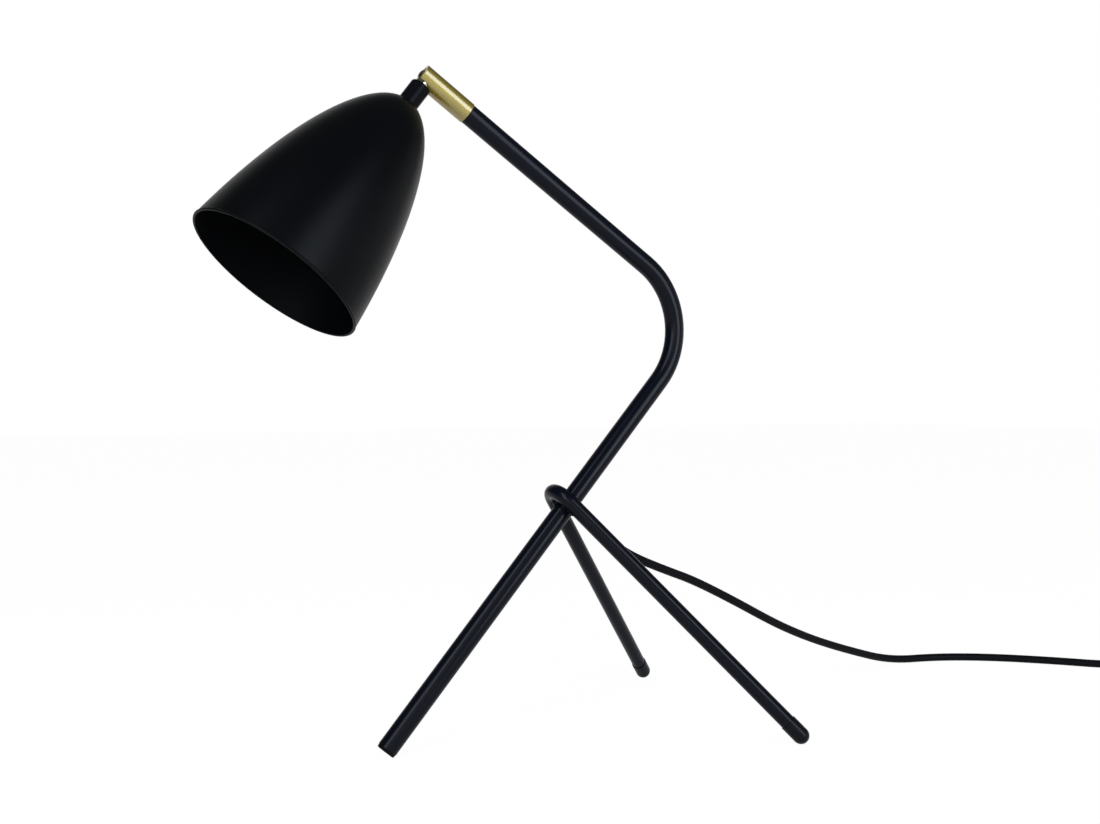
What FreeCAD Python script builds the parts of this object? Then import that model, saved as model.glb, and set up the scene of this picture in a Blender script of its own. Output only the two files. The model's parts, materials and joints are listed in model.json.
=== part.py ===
"""Tripod table lamp: a bent tube on a looped leg rod, a ball swivel and a spun shade.

Millimetres, +Z up. The origin is where the front foot touches the table, the head looks
towards -X and the two rear legs stand at +X. Every size is a cell of the sheet "Sizes".
"""

import FreeCAD, Part

import math
import os

import Sketcher

V = FreeCAD.Vector

doc = FreeCAD.newDocument("tripod_table_lamp")

# ---------------------------------------------------------------- driving dimensions
SIZES = {
    # stand
    "tube_od": 14.0,
    "tube_wall": 1.2,
    "tube_slope": 49.1,
    "arm_slope": 33.8,
    "lower_run": 385.4,
    "arm_run": 234.3,
    "bend_radius": 57.0,
    "leg_od": 10.8,
    "leg_slope": 50.25,
    "leg_splay": 23.4,
    "fork_run": 203.0,
    "loop_gap": 1.4,
    "weld_size": 5.0,
    "cap_wall": 0.5,
    "cap_skirt": 12.0,
    "foot_patch": 0.4,
    "plug_flange_inset": 0.4,
    "plug_flange_depth": 2.2,
    "plug_edge": 1.0,
    "plug_spigot": 10.0,
    # cord outlet
    "cord_od": 6.4,
    "core_od": 2.0,
    "core_spread": 1.3,
    "outlet_rise": 3.0,
    "grommet_neck": 8.2,
    "grommet_flange": 10.4,
    "grommet_flange_depth": 1.6,
    "grommet_lip": 1.3,
    "boot_length": 20.0,
    "boot_root": 8.8,
    # swivel
    "thread_od": 10.0,
    "thread_bore": 7.0,
    "turning_gap": 0.08,
    "face_gap": 0.1,
    "fit_gap": 0.05,
    "bush_length": 14.0,
    "barrel_od": 15.0,
    "barrel_length": 39.6,
    "barrel_boss": 8.0,
    "barrel_edge": 0.4,
    "ball_setback": 4.5,
    "ball_od": 12.4,
    "ball_gap": 0.3,
    "mouth_od": 10.7,
    "ball_bore": 5.6,
    "nut_depth": 4.0,
    "washer_depth": 1.0,
    "cup_length": 3.5,
    "cup_bore": 5.2,
    "spring_wire": 1.1,
    "spring_turns": 3.0,
    # head
    "head_slope": 52.4,
    "head_twist": 4.6,
    "neck_end": 14.0,
    "stem_start": 7.7,
    "shade_crown": 24.8,
    "shade_mouth": 171.5,
    "shade_wall": 1.2,
    "shade_bead": 0.9,
    "dome_half_length": 212.0,
    "dome_half_width": 60.9,
    "dome_apex": 22.9,
    "shade_washer_od": 15.0,
    "shade_nut_flats": 13.6,
    "shade_nut_depth": 3.0,
    # lampholder
    "holder_od": 27.6,
    "holder_wall": 1.6,
    "cap_boss_od": 14.0,
    "cap_boss_length": 6.0,
    "cap_shoulder": 6.0,
    "cap_length": 26.0,
    "body_length": 28.0,
    "body_lip": 2.4,
    "insert_depth": 11.0,
    "shell_bore": 14.0,
    "shell_wall": 0.5,
    "shell_length": 16.0,
    "shell_flange": 2.0,
    "contact_od": 4.6,
    "contact_height": 4.0,
    "terminal_spread": 7.0,
    "screw_od": 3.0,
    "screw_head_od": 5.0,
    "screw_head_depth": 1.6,
    # switch, coil and plug
    "table_clearance": 0.3,
    "switch_length": 60.0,
    "switch_width": 26.0,
    "switch_base_depth": 8.0,
    "switch_cover_depth": 10.5,
    "switch_corner": 9.0,
    "switch_edge": 1.6,
    "switch_wall": 2.0,
    "rocker_length": 22.0,
    "rocker_width": 12.0,
    "rocker_rise": 3.0,
    "rocker_gap": 0.4,
    "rocker_pin": 2.5,
    "coil_pitch": 7.0,
    "coil_turns": 4.0,
    "coil_middle": 70.0,
    "tie_share": 0.125,
    "tie_width": 7.0,
    "tie_thickness": 0.6,
    "cord_lift": 0.1,
    "tie_play": 0.35,
    "first_run": 15.0,
    "switch_run": 16.0,
    "switch_leave": 22.0,
    "switch_boot": 20.0,
    "switch_boot_root": 9.0,
    "switch_entry": 5.3,
    "coil_run": 25.0,
    "coil_leave": 19.0,
    "plug_run": 22.0,
    "switch_x": 700.0,
    "switch_y": -116.0,
    "switch_turn": -39.0,
    "coil_x": 682.0,
    "coil_y": -191.5,
    "coil_start": -94.0,
    "plug_x": 545.0,
    "plug_y": -238.0,
    "plug_turn": -172.0,
    "screw_x": 22.0,
    "screw_y": 6.0,
    "rocker_tilt": 7.0,
    "rocker_skirt": 20.0,
    "rocker_crown": 32.0,
    "rocker_valley": 1.6,
    "plug_taper": 0.62,
    "plug_corner": 4.0,
    "plug_edge_round": 2.5,
    "plug_tail_root": 10.0,
    "plug_length": 36.0,
    "plug_width": 26.0,
    "plug_depth": 13.7,
    "plug_tail": 20.0,
    "pin_od": 4.0,
    "pin_length": 19.0,
    "pin_spacing": 18.6,
}

sheet = doc.addObject("Spreadsheet::Sheet", "Sizes")
for row, (alias, number) in enumerate(SIZES.items(), start=1):
    sheet.set(f"A{row}", alias)
    sheet.set(f"B{row}", str(number))
    sheet.setAlias(f"B{row}", alias)
doc.recompute()


class Formula:
    """A length or an angle in degrees: its value now, and its text for setExpression."""

    def __init__(self, value, text):
        self.value = value
        self.text = text

    def __add__(self, other):
        other = formula(other)
        return Formula(self.value + other.value, f"({self.text} + {other.text})")

    def __sub__(self, other):
        other = formula(other)
        return Formula(self.value - other.value, f"({self.text} - {other.text})")

    def __mul__(self, other):
        other = formula(other)
        return Formula(self.value * other.value, f"({self.text} * {other.text})")

    def __truediv__(self, other):
        other = formula(other)
        return Formula(self.value / other.value, f"({self.text} / {other.text})")

    def __neg__(self):
        return Formula(-self.value, f"(0 - {self.text})")

    def __radd__(self, other):
        return formula(other) + self

    def __rsub__(self, other):
        return formula(other) - self

    def __rmul__(self, other):
        return formula(other) * self


def formula(amount):
    """A plain number as a Formula."""
    return amount if isinstance(amount, Formula) else Formula(float(amount), repr(float(amount)))


def size(alias):
    return Formula(float(sheet.get(alias)), f"Sizes.{alias}")


def sin(angle):
    return Formula(math.sin(math.radians(angle.value)), f"sin({angle.text})")


def cos(angle):
    return Formula(math.cos(math.radians(angle.value)), f"cos({angle.text})")


def tan(angle):
    return Formula(math.tan(math.radians(angle.value)), f"tan({angle.text})")


def root(amount):
    return Formula(math.sqrt(amount.value), f"sqrt({amount.text})")


def bind(thing, **sizes):
    for name, amount in sizes.items():
        thing.setExpression(name, formula(amount).text)


# ---------------------------------------------------------------- how pieces are made
pieces = {}


def piece(node, thing):
    """Registers a finished sub-part under its node's name."""
    thing.Label = node
    pieces[node] = thing
    return thing


def new_body(name, place=None):
    body = doc.addObject("PartDesign::Body", name)
    if place is not None:
        body.Placement = place
    return body


def new_sketch(body, name, role):
    """An empty sketch on one of the body's own origin planes."""
    sketch = body.newObject("Sketcher::SketchObject", f"{body.Name}_{name}")
    plane = [f for f in body.Origin.OriginFeatures if f.Role == role][0]
    sketch.AttachmentSupport = [(plane, "")]
    sketch.MapMode = "FlatFace"
    return sketch


def fix_point(sketch, line, end, across, along):
    """Holds one end of a line at a place given by two formulas."""
    for kind, amount in (("DistanceX", across), ("DistanceY", along)):
        amount = formula(amount)
        index = sketch.addConstraint(Sketcher.Constraint(kind, -1, 1, line, end, amount.value))
        sketch.setExpression(f"Constraints[{index}]", amount.text)


def draw_outline(sketch, points, arcs=()):
    """A closed outline through (across, along) places.

    arcs holds the numbers of the edges that are arcs about a centre on the upright axis, each
    with the height of that centre.
    """
    places = [(formula(a), formula(b)) for a, b in points]
    spots = [V(a.value, b.value, 0) for a, b in places]
    count = len(spots)
    arcs = dict(arcs)
    for edge in range(count):
        start, end = spots[edge], spots[(edge + 1) % count]
        if edge in arcs:
            centre = V(0, formula(arcs[edge]).value, 0)
            radius = (start - centre).Length
            middle = centre + ((start + end) / 2 - centre).normalize() * radius
            sketch.addGeometry(Part.Arc(start, middle, end), False)
        else:
            sketch.addGeometry(Part.LineSegment(start, end), False)
    ends = {}
    for edge in range(count):
        begins_first = True
        if edge in arcs:
            start_point = sketch.getPoint(edge, 1)
            begins_first = (start_point - spots[edge]).Length < 1e-6
        ends[edge] = (1, 2) if begins_first else (2, 1)
    for edge in range(count):
        following = (edge + 1) % count
        sketch.addConstraint(
            Sketcher.Constraint("Coincident", edge, ends[edge][1], following, ends[following][0])
        )
    for edge in range(count):
        fix_point(sketch, edge, ends[edge][0], *places[edge])
        if edge in arcs:
            sketch.addConstraint(Sketcher.Constraint("PointOnObject", edge, 3, -2))


def revolve(body, sketch, feature="PartDesign::Revolution"):
    turn = body.newObject(feature, f"{sketch.Name}_turn")
    turn.Profile = sketch
    turn.ReferenceAxis = (sketch, ["V_Axis"])
    turn.Angle = 360
    sketch.Visibility = False
    doc.recompute()
    return turn


def turned(name, points, arcs=(), place=None):
    """A turned piece: an outline of (radius, height) formulas, revolved about its Z axis."""
    body = new_body(name, place)
    sketch = new_sketch(body, "outline", "XZ_Plane")
    draw_outline(sketch, points, arcs)
    revolve(body, sketch)
    return body


def ring(name, inner, outer, low, high, place=None):
    """A plain round tube or washer, or a pin where the inner radius is None."""
    if inner is None:
        points = [(0, low), (outer, low), (outer, high), (0, high)]
    else:
        points = [(inner, low), (outer, low), (outer, high), (inner, high)]
    return turned(name, points, place=place)


def extrude(name, points, role, length, place=None, midplane=False):
    """A plate: an outline on one of the body's planes, padded by a length."""
    body = new_body(name, place)
    sketch = new_sketch(body, "outline", role)
    draw_outline(sketch, points)
    pad = body.newObject("PartDesign::Pad", f"{name}_pad")
    pad.Profile = sketch
    pad.Midplane = midplane
    bind(pad, Length=length)
    sketch.Visibility = False
    doc.recompute()
    return body


def pocket(body, name, points, role, length, midplane=False):
    """Cuts an outline into a body and sees to it that the cut goes into the solid."""
    sketch = new_sketch(body, name, role)
    draw_outline(sketch, points)
    before = body.Shape.Volume
    cut = body.newObject("PartDesign::Pocket", f"{body.Name}_{name}_cut")
    cut.Profile = sketch
    cut.Midplane = midplane
    bind(cut, Length=length)
    doc.recompute()
    if body.Shape.Volume > before - 0.01:
        cut.Reversed = True
        doc.recompute()
    sketch.Visibility = False
    return cut


def round_edges(body, radius, chosen, feature="PartDesign::Fillet"):
    """Rounds the edges of a body that the test picks."""
    tip = body.Tip
    names = [f"Edge{n}" for n, edge in enumerate(tip.Shape.Edges, start=1) if chosen(edge)]
    rounding = body.newObject(feature, f"{body.Name}_rounding{len(body.Group)}")
    rounding.Base = (tip, names)
    bind(rounding, **({"Radius": radius} if feature.endswith("Fillet") else {"Size": radius}))
    doc.recompute()
    return rounding


def boolean(kind, name, base, tool, place=None):
    """Part::Cut or Part::Common of two objects."""
    result = doc.addObject(f"Part::{kind}", name)
    result.Base = base
    result.Tool = tool
    if place is not None:
        result.Placement = place
    doc.recompute()
    return result


def cylinder(name, radius, height, base=None, direction=None):
    rod = doc.addObject("Part::Cylinder", name)
    bind(rod, Radius=radius, Height=height)
    turn = FreeCAD.Rotation(V(0, 0, 1), direction or V(0, 0, 1))
    rod.Placement = FreeCAD.Placement(base or V(0, 0, 0), turn)
    return rod


def solid(name, shape):
    """A Part::Feature that holds a shape made with Part's own functions."""
    feature = doc.addObject("Part::Feature", name)
    feature.Shape = shape
    return feature


def swept_wire(edges, radius):
    """A round solid along a chain of edges that touch smoothly."""
    path = Part.Wire(edges)
    start = path.Edges[0].valueAt(path.Edges[0].FirstParameter)
    heading = path.Edges[0].tangentAt(path.Edges[0].FirstParameter)
    section = Part.Wire([Part.Circle(start, heading, radius).toShape()])
    return path.makePipeShell([section], True, False)


def unit(vector):
    return vector / vector.Length


def arc_between(start, heading, end):
    """The arc that leaves start along heading and reaches end."""
    chord = end - start
    middle_way = unit(unit(heading) + unit(chord))
    half = chord.getAngle(heading) / 2
    middle = start + middle_way * (chord.Length / 2 / math.cos(half))
    return Part.Arc(start, middle, end).toShape()


def biarc(p0, t0, p1, t1):
    """Two arcs that leave p0 along t0 and reach p1 along t1."""
    v = p1 - p0
    bending = 2 * (1 - t0.dot(t1))
    along = 2 * v.dot(t0 + t1)
    reach = (-along + math.sqrt(along ** 2 + 4 * bending * v.dot(v))) / (2 * bending)
    joint = (p0 + p1 + (t0 - t1) * reach) / 2
    return [arc_between(p0, t0, joint), arc_between(joint, v - (t0 + t1) * reach, p1)]


def smooth_line(spots):
    """Biarcs through (place, direction) pairs, as a list of edges."""
    edges = []
    for (p0, t0), (p1, t1) in zip(spots, spots[1:]):
        edges.extend(biarc(p0, t0, p1, t1))
    return edges


# ---------------------------------------------------------------- places in the stand
tube_r = size("tube_od") / 2
bore_r = tube_r - size("tube_wall")
slope = size("tube_slope")
rise = size("arm_slope")
plug_r = tube_r - size("plug_flange_inset")
plug_reach = size("plug_flange_depth") - size("plug_edge")
plug_arm = plug_r - size("plug_edge")

# The plug's rounded edge meets the table at the origin, flattened by the foot patch.
end_x = plug_reach * cos(slope) - plug_arm * sin(slope)
end_z = plug_reach * sin(slope) + plug_arm * cos(slope) + size("plug_edge") - size("foot_patch")
tube_up = V(cos(slope).value, 0, sin(slope).value)
tube_out = V(sin(slope).value, 0, -cos(slope).value)
arm_up = V(-cos(rise).value, 0, sin(rise).value)
tube_end = V(end_x.value, 0, end_z.value)
corner = tube_end + tube_up * size("lower_run").value
arm_end = corner + arm_up * size("arm_run").value
fork = tube_end + tube_up * size("fork_run").value
turn = 180 - slope - rise
bend_cut = size("bend_radius") * tan(turn / 2)


def aimed(origin, z_way, x_way):
    """A placement whose Z points along z_way and whose X leans towards x_way."""
    return FreeCAD.Placement(origin, FreeCAD.Rotation(x_way, V(0, 0, 0), z_way, "ZXY"))


# ---------------------------------------------------------------- stand
def bent_path(sketch, first, second):
    """Line, arc and line: the centre line of the main tube, in the plane of the lamp."""
    straight = (size("lower_run") - bend_cut).value
    radius = size("bend_radius").value
    p0 = V(end_x.value, end_z.value, 0)
    p1 = p0 + V(tube_up.x, tube_up.z, 0) * straight
    centre = p1 + V(-tube_up.z, tube_up.x, 0) * radius
    p2 = centre + V(arm_up.z, -arm_up.x, 0) * radius
    p3 = p2 + V(arm_up.x, arm_up.z, 0) * (size("arm_run") - bend_cut).value
    middle = centre + ((p1 + p2) / 2 - centre).normalize() * radius
    sketch.addGeometry(Part.LineSegment(p0, p1), False)
    sketch.addGeometry(Part.Arc(p1, middle, p2), False)
    sketch.addGeometry(Part.LineSegment(p2, p3), False)
    sketch.addConstraint(Sketcher.Constraint("Tangent", 0, 2, 1, 1))
    sketch.addConstraint(Sketcher.Constraint("Tangent", 1, 2, 2, 1))
    fix_point(sketch, 0, 1, end_x, end_z)
    angle = sketch.addConstraint(Sketcher.Constraint("Angle", 0, math.radians(slope.value)))
    sketch.setExpression(f"Constraints[{angle}]", slope.text)
    angle = sketch.addConstraint(Sketcher.Constraint("Angle", 2, math.radians(180 - rise.value)))
    sketch.setExpression(f"Constraints[{angle}]", (180 - rise).text)
    bend = sketch.addConstraint(Sketcher.Constraint("Radius", 1, radius))
    sketch.setExpression(f"Constraints[{bend}]", size("bend_radius").text)
    for line, run in ((0, first), (2, second)):
        length = run - bend_cut
        index = sketch.addConstraint(Sketcher.Constraint("Distance", line, length.value))
        sketch.setExpression(f"Constraints[{index}]", length.text)


def add_circle(sketch, radius):
    index = sketch.addGeometry(Part.Circle(V(0, 0, 0), V(0, 0, 1), radius.value), False)
    sketch.addConstraint(Sketcher.Constraint("Coincident", index, 3, -1, 1))
    held = sketch.addConstraint(Sketcher.Constraint("Radius", index, radius.value))
    sketch.setExpression(f"Constraints[{held}]", radius.text)


def pipe(body, path, radii):
    """A tube along the path's sketch, with a round or ring-shaped section at its start."""
    section = body.newObject("Sketcher::SketchObject", f"{body.Name}_section")
    section.AttachmentSupport = [(path, "Edge1")]
    section.MapMode = "NormalToEdge"
    section.MapPathParameter = 0
    doc.recompute()
    for radius in radii:
        add_circle(section, radius)
    doc.recompute()
    sweep = body.newObject("PartDesign::AdditivePipe", f"{body.Name}_pipe")
    sweep.Profile = section
    sweep.Spine = (path, ["Edge1", "Edge2", "Edge3"])
    sweep.Mode = "Frenet"
    sweep.Transition = "Transformed"
    doc.recompute()
    return sweep


def make_main_tube():
    body = new_body("main_tube_bent")
    path = new_sketch(body, "path", "XZ_Plane")
    bent_path(path, size("lower_run"), size("arm_run"))
    doc.recompute()
    pipe(body, path, (tube_r, bore_r))
    outlet = cylinder(
        "outlet_drill", size("grommet_neck") / 2 + size("fit_gap"), tube_r * 2,
        outlet_seat(), tube_out,
    )
    piece("main_tube", boolean("Cut", "main_tube_drilled", body, outlet))


def outlet_seat():
    """Where the cord's outlet meets the tube's centre line, behind the loop."""
    return fork + tube_up * size("outlet_rise").value


leg_r = size("leg_od") / 2
loop_r = tube_r + leg_r + size("loop_gap")
splay = size("leg_splay")
cap_r = leg_r + size("cap_wall")
leg_tilt = size("leg_slope")
leg_drop = cos(splay) * sin(leg_tilt)
fork_z = end_z + size("fork_run") * sin(slope)
leg_rise = loop_r * sin(splay) * sin(leg_tilt)
leg_run = (fork_z + leg_rise - cap_r + size("foot_patch")) / leg_drop
leg_up = V(-cos(leg_tilt).value, 0, sin(leg_tilt).value)
leg_plane = aimed(fork, V(0, -1, 0).cross(leg_up), V(0, -1, 0))


def leg_foot(side):
    """The middle of one rear foot's dome, and the way that its leg runs down to it."""
    way = V(0, side * sin(splay).value, 0) - leg_up * cos(splay).value
    outward = V(0, side, 0) * (loop_r * cos(splay)).value
    upward = leg_up * (loop_r * sin(splay)).value
    return fork + outward + upward + way * leg_run.value, way


def make_leg_rod():
    """One rod: a leg, the loop that goes round the tube, and the other leg."""
    body = new_body("leg_rod", leg_plane)
    path = new_sketch(body, "path", "XY_Plane")
    radius = loop_r.value
    tilt = math.radians(splay.value)
    right = V(math.cos(tilt), math.sin(tilt), 0) * radius
    left = V(-math.cos(tilt), math.sin(tilt), 0) * radius
    foot_right = right + V(math.sin(tilt), -math.cos(tilt), 0) * leg_run.value
    foot_left = left + V(-math.sin(tilt), -math.cos(tilt), 0) * leg_run.value
    path.addGeometry(Part.LineSegment(foot_right, right), False)
    path.addGeometry(Part.Arc(right, V(0, radius, 0), left), False)
    path.addGeometry(Part.LineSegment(left, foot_left), False)
    path.addConstraint(Sketcher.Constraint("Tangent", 0, 2, 1, 1))
    path.addConstraint(Sketcher.Constraint("Tangent", 1, 2, 2, 1))
    path.addConstraint(Sketcher.Constraint("Coincident", 1, 3, -1, 1))
    index = path.addConstraint(Sketcher.Constraint("Radius", 1, radius))
    path.setExpression(f"Constraints[{index}]", loop_r.text)
    for line, across in ((0, loop_r * cos(splay)), (2, -loop_r * cos(splay))):
        end = 2 if line == 0 else 1
        index = path.addConstraint(Sketcher.Constraint("DistanceX", -1, 1, line, end, across.value))
        path.setExpression(f"Constraints[{index}]", across.text)
        index = path.addConstraint(Sketcher.Constraint("Distance", line, leg_run.value))
        path.setExpression(f"Constraints[{index}]", leg_run.text)
    doc.recompute()
    pipe(body, path, (leg_r,))
    piece("leg_rod", body)


def floor_block():
    """All that lies below the table's surface, to flatten what rests on it."""
    block = doc.addObject("Part::Box", "floor_block")
    span = size("lower_run") * 4
    deep = size("tube_od") * 2
    bind(block, Length=span, Width=span, Height=deep)
    block.Placement.Base = V(-span.value / 4, -span.value / 2, -deep.value)
    return block


def make_feet():
    floor = floor_block()
    for node, side in (("leg_cap_near", -1), ("leg_cap_far", 1)):
        foot, way = leg_foot(side)
        cap = turned(
            f"{node}_turned",
            [
                (0, cap_r),
                (cap_r, 0),
                (cap_r, -size("cap_skirt")),
                (leg_r, -size("cap_skirt")),
                (leg_r, 0),
                (0, 0),
            ],
            arcs=[(0, 0)],
            place=aimed(foot, way, V(0, 1, 0)),
        )
        piece(node, boolean("Cut", f"{node}_flat", cap, floor))
    deep = size("plug_flange_depth")
    plug = turned(
        "main_foot_plug_turned",
        [
            (0, -deep),
            (plug_r, -deep),
            (plug_r, 0),
            (bore_r, 0),
            (bore_r, size("plug_spigot")),
            (0, size("plug_spigot")),
        ],
        place=aimed(tube_end, tube_up, V(0, 1, 0)),
    )
    low = -deep.value

    def is_rim(edge):
        point = edge.valueAt(edge.FirstParameter)
        return abs(point.z - low) < 1e-4 and abs(math.hypot(point.x, point.y) - plug_r.value) < 1e-4

    round_edges(plug, size("plug_edge"), is_rim)
    piece("main_foot_plug", boolean("Cut", "main_foot_plug_flat", plug, floor))


def make_welds():
    """The two beads that join the loop to the tube, one on each side."""
    reach = tube_r + size("loop_gap") / 2
    beads = []
    for name, side in (("near", -1), ("far", 1)):
        bead = doc.addObject("Part::Sphere", f"weld_{name}")
        bind(bead, Radius=size("weld_size"))
        outward = V(0, side, 0) * cos(splay).value + leg_up * sin(splay).value
        bead.Placement.Base = fork + outward * reach.value
        beads.append(bead)
    both = boolean("Fuse", "weld_metal", beads[0], beads[1])
    below = fork - tube_up * size("fork_run").value / 2
    core = cylinder("weld_tube_core", tube_r, size("fork_run"), below, tube_up)
    off_tube = boolean("Cut", "weld_off_tube", both, core)
    piece("weld_beads", boolean("Cut", "weld_beads", off_tube, pieces["leg_rod"]))


def make_outlet():
    neck = size("grommet_neck") / 2
    flange = size("grommet_flange") / 2
    lip_top = root(bore_r * bore_r - flange * flange) - size("fit_gap")
    lip_low = lip_top - size("grommet_lip")
    seat = tube_r + size("fit_gap")
    boot = seat + size("grommet_flange_depth")
    cord_r = size("cord_od") / 2
    piece(
        "cord_grommet",
        turned(
            "cord_grommet",
            [
                (0, lip_low),
                (flange, lip_low),
                (flange, lip_top),
                (neck, lip_top),
                (neck, seat),
                (flange, seat),
                (flange, boot),
                (size("boot_root") / 2, boot),
                (cord_r + size("fit_gap") * 4, boot + size("boot_length")),
                (0, boot + size("boot_length")),
            ],
            place=aimed(outlet_seat(), tube_out, V(0, 1, 0)),
        ),
    )
    cord_exit = outlet_seat() + tube_out * (boot + size("boot_length")).value
    return cord_exit, outlet_seat() + tube_out * lip_low.value


def make_tube_leads(start):
    """The two cores that run from the grommet up the tube and through the swivel nipple."""
    on_axis = outlet_seat() + tube_up * (start - outlet_seat()).Length
    radius = size("bend_radius").value
    bend_start = corner - tube_up * bend_cut.value
    bend_end = corner + arm_up * bend_cut.value
    centre = bend_start + V(-tube_up.z, 0, tube_up.x) * radius
    bend_middle = centre + ((bend_start + bend_end) / 2 - centre).normalize() * radius
    finish = arm_end + arm_up * (size("barrel_boss") + size("barrel_boss") * 2).value
    cores = []
    for side in (-1, 1):
        shift = V(0, side * size("core_spread").value, 0)
        edges = [
            arc_between(start + shift, -1 * tube_out, on_axis + shift),
            Part.LineSegment(on_axis + shift, bend_start + shift).toShape(),
            Part.Arc(bend_start + shift, bend_middle + shift, bend_end + shift).toShape(),
            Part.LineSegment(bend_end + shift, finish + shift).toShape(),
        ]
        cores.append(swept_wire(edges, size("core_od").value / 2))
    piece("tube_leads", solid("tube_leads", Part.makeCompound(cores)))


# ---------------------------------------------------------------- swivel
twist = FreeCAD.Rotation(arm_up, size("head_twist").value)
barrel_place = aimed(arm_end, arm_up, twist.multVec(V(0, 1, 0)))
ball_centre = arm_end + arm_up * (size("barrel_length") - size("ball_setback")).value
head_way = V(-cos(size("head_slope")).value, 0, -sin(size("head_slope")).value)
head_place = aimed(ball_centre, twist.multVec(head_way), twist.multVec(V(0, 1, 0)))
thread_r = size("thread_od") / 2
nipple_bore = size("thread_bore") / 2
running_r = thread_r + size("turning_gap")
barrel_r = size("barrel_od") / 2
ball_r = size("ball_od") / 2
seat_r = ball_r + size("ball_gap")
mouth_r = size("mouth_od") / 2
ball_z = size("barrel_length") - size("ball_setback")
nut_low = size("barrel_boss") + size("face_gap")
nut_r = seat_r - size("ball_gap")


def make_arm_end():
    """The bush brazed into the arm, the hollow nipple, and the washer and nut that hold the barrel."""
    arm_place = aimed(arm_end, arm_up, V(0, 1, 0))
    nut_top = nut_low + size("washer_depth") + size("nut_depth")
    piece("arm_bush", ring("arm_bush", thread_r, bore_r, -size("bush_length"), 0, arm_place))
    piece(
        "swivel_nipple",
        ring("swivel_nipple", nipple_bore, thread_r, -size("bush_length"), nut_top, arm_place),
    )
    washer_top = nut_low + size("washer_depth")
    piece("swivel_washer", ring("swivel_washer", thread_r, nut_r, nut_low, washer_top, arm_place))
    nut = ring("swivel_nut", thread_r, nut_r, washer_top, nut_top, arm_place)
    half = size("tube_wall")
    depth = size("nut_depth") / 2
    slot = [(-half, nut_top - depth), (half, nut_top - depth), (half, nut_top), (-half, nut_top)]
    pocket(nut, "spanner_slot", slot, "XZ_Plane", nut_r * 2, midplane=True)
    piece("swivel_nut", nut)


def middle_of(body):
    """The centre of gravity of a body's solids, in the body's own axes."""
    solids = body.Shape.Solids
    total = sum(s.Volume for s in solids)
    centre = sum((s.CenterOfMass * s.Volume for s in solids), V(0, 0, 0)) / total
    return body.Placement.inverse().multVec(centre)


def make_barrel():
    """The brass barrel: bored from behind, with a round seat for the ball and a slot at its side."""
    boss = size("barrel_boss")
    end = size("barrel_length")
    seat_top = ball_z + root(seat_r * seat_r - mouth_r * mouth_r)
    body = turned(
        "swivel_barrel",
        [
            (running_r, size("face_gap")),
            (barrel_r, size("face_gap")),
            (barrel_r, end),
            (mouth_r, end),
            (mouth_r, seat_top),
            (seat_r, ball_z),
            (seat_r, boss),
            (running_r, boss),
        ],
        arcs=[(4, ball_z)],
        place=barrel_place,
    )
    # The slot's outline lies on the plane that holds the ball's pivot axis and the barrel's axis.
    slot = new_sketch(body, "slot", "XZ_Plane")
    draw_slot(slot, mouth_r, ball_z, end + size("face_gap"))
    before = body.Shape.Volume
    cut = body.newObject("PartDesign::Pocket", "swivel_barrel_slot_cut")
    cut.Profile = slot
    bind(cut, Length=barrel_r + size("face_gap"))
    doc.recompute()
    slot_side = head_way.dot(body.Placement.Rotation.multVec(V(0, 1, 0)))
    if body.Shape.Volume > before - 0.01 or middle_of(body).y * slot_side > 0:
        cut.Reversed = not cut.Reversed
        doc.recompute()
    slot.Visibility = False
    edge = size("barrel_edge")

    def is_rim(line):
        point = line.valueAt(line.FirstParameter)
        other = line.valueAt(line.LastParameter)
        on_rim = [abs(math.hypot(p.x, p.y) - barrel_r.value) < 1e-3 for p in (point, other)]
        flat = [
            min(abs(p.z - size("face_gap").value), abs(p.z - size("barrel_length").value)) < 1e-3
            for p in (point, other)
        ]
        return all(on_rim) and all(flat) and line.Curve.TypeId == "Part::GeomCircle"

    round_edges(body, edge, is_rim)
    piece("swivel_barrel", body)


def draw_slot(sketch, half, low, top):
    """A slot that is open at the top and has a half-round lower end."""
    low, top, half = formula(low), formula(top), formula(half)
    a = V(half.value, low.value, 0)
    b = V(half.value, top.value, 0)
    c = V(-half.value, top.value, 0)
    d = V(-half.value, low.value, 0)
    sketch.addGeometry(Part.LineSegment(a, b), False)
    sketch.addGeometry(Part.LineSegment(b, c), False)
    sketch.addGeometry(Part.LineSegment(c, d), False)
    sketch.addGeometry(Part.Arc(d, V(0, low.value - half.value, 0), a), False)
    sketch.addConstraint(Sketcher.Constraint("Coincident", 0, 2, 1, 1))
    sketch.addConstraint(Sketcher.Constraint("Coincident", 1, 2, 2, 1))
    sketch.addConstraint(Sketcher.Constraint("Coincident", 2, 2, 3, 1))
    sketch.addConstraint(Sketcher.Constraint("Coincident", 3, 2, 0, 1))
    fix_point(sketch, 0, 1, half, low)
    fix_point(sketch, 0, 2, half, top)
    fix_point(sketch, 1, 2, -half, top)
    fix_point(sketch, 2, 2, -half, low)
    index = sketch.addConstraint(Sketcher.Constraint("DistanceY", -1, 1, 3, 3, low.value))
    sketch.setExpression(f"Constraints[{index}]", low.text)


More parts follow.
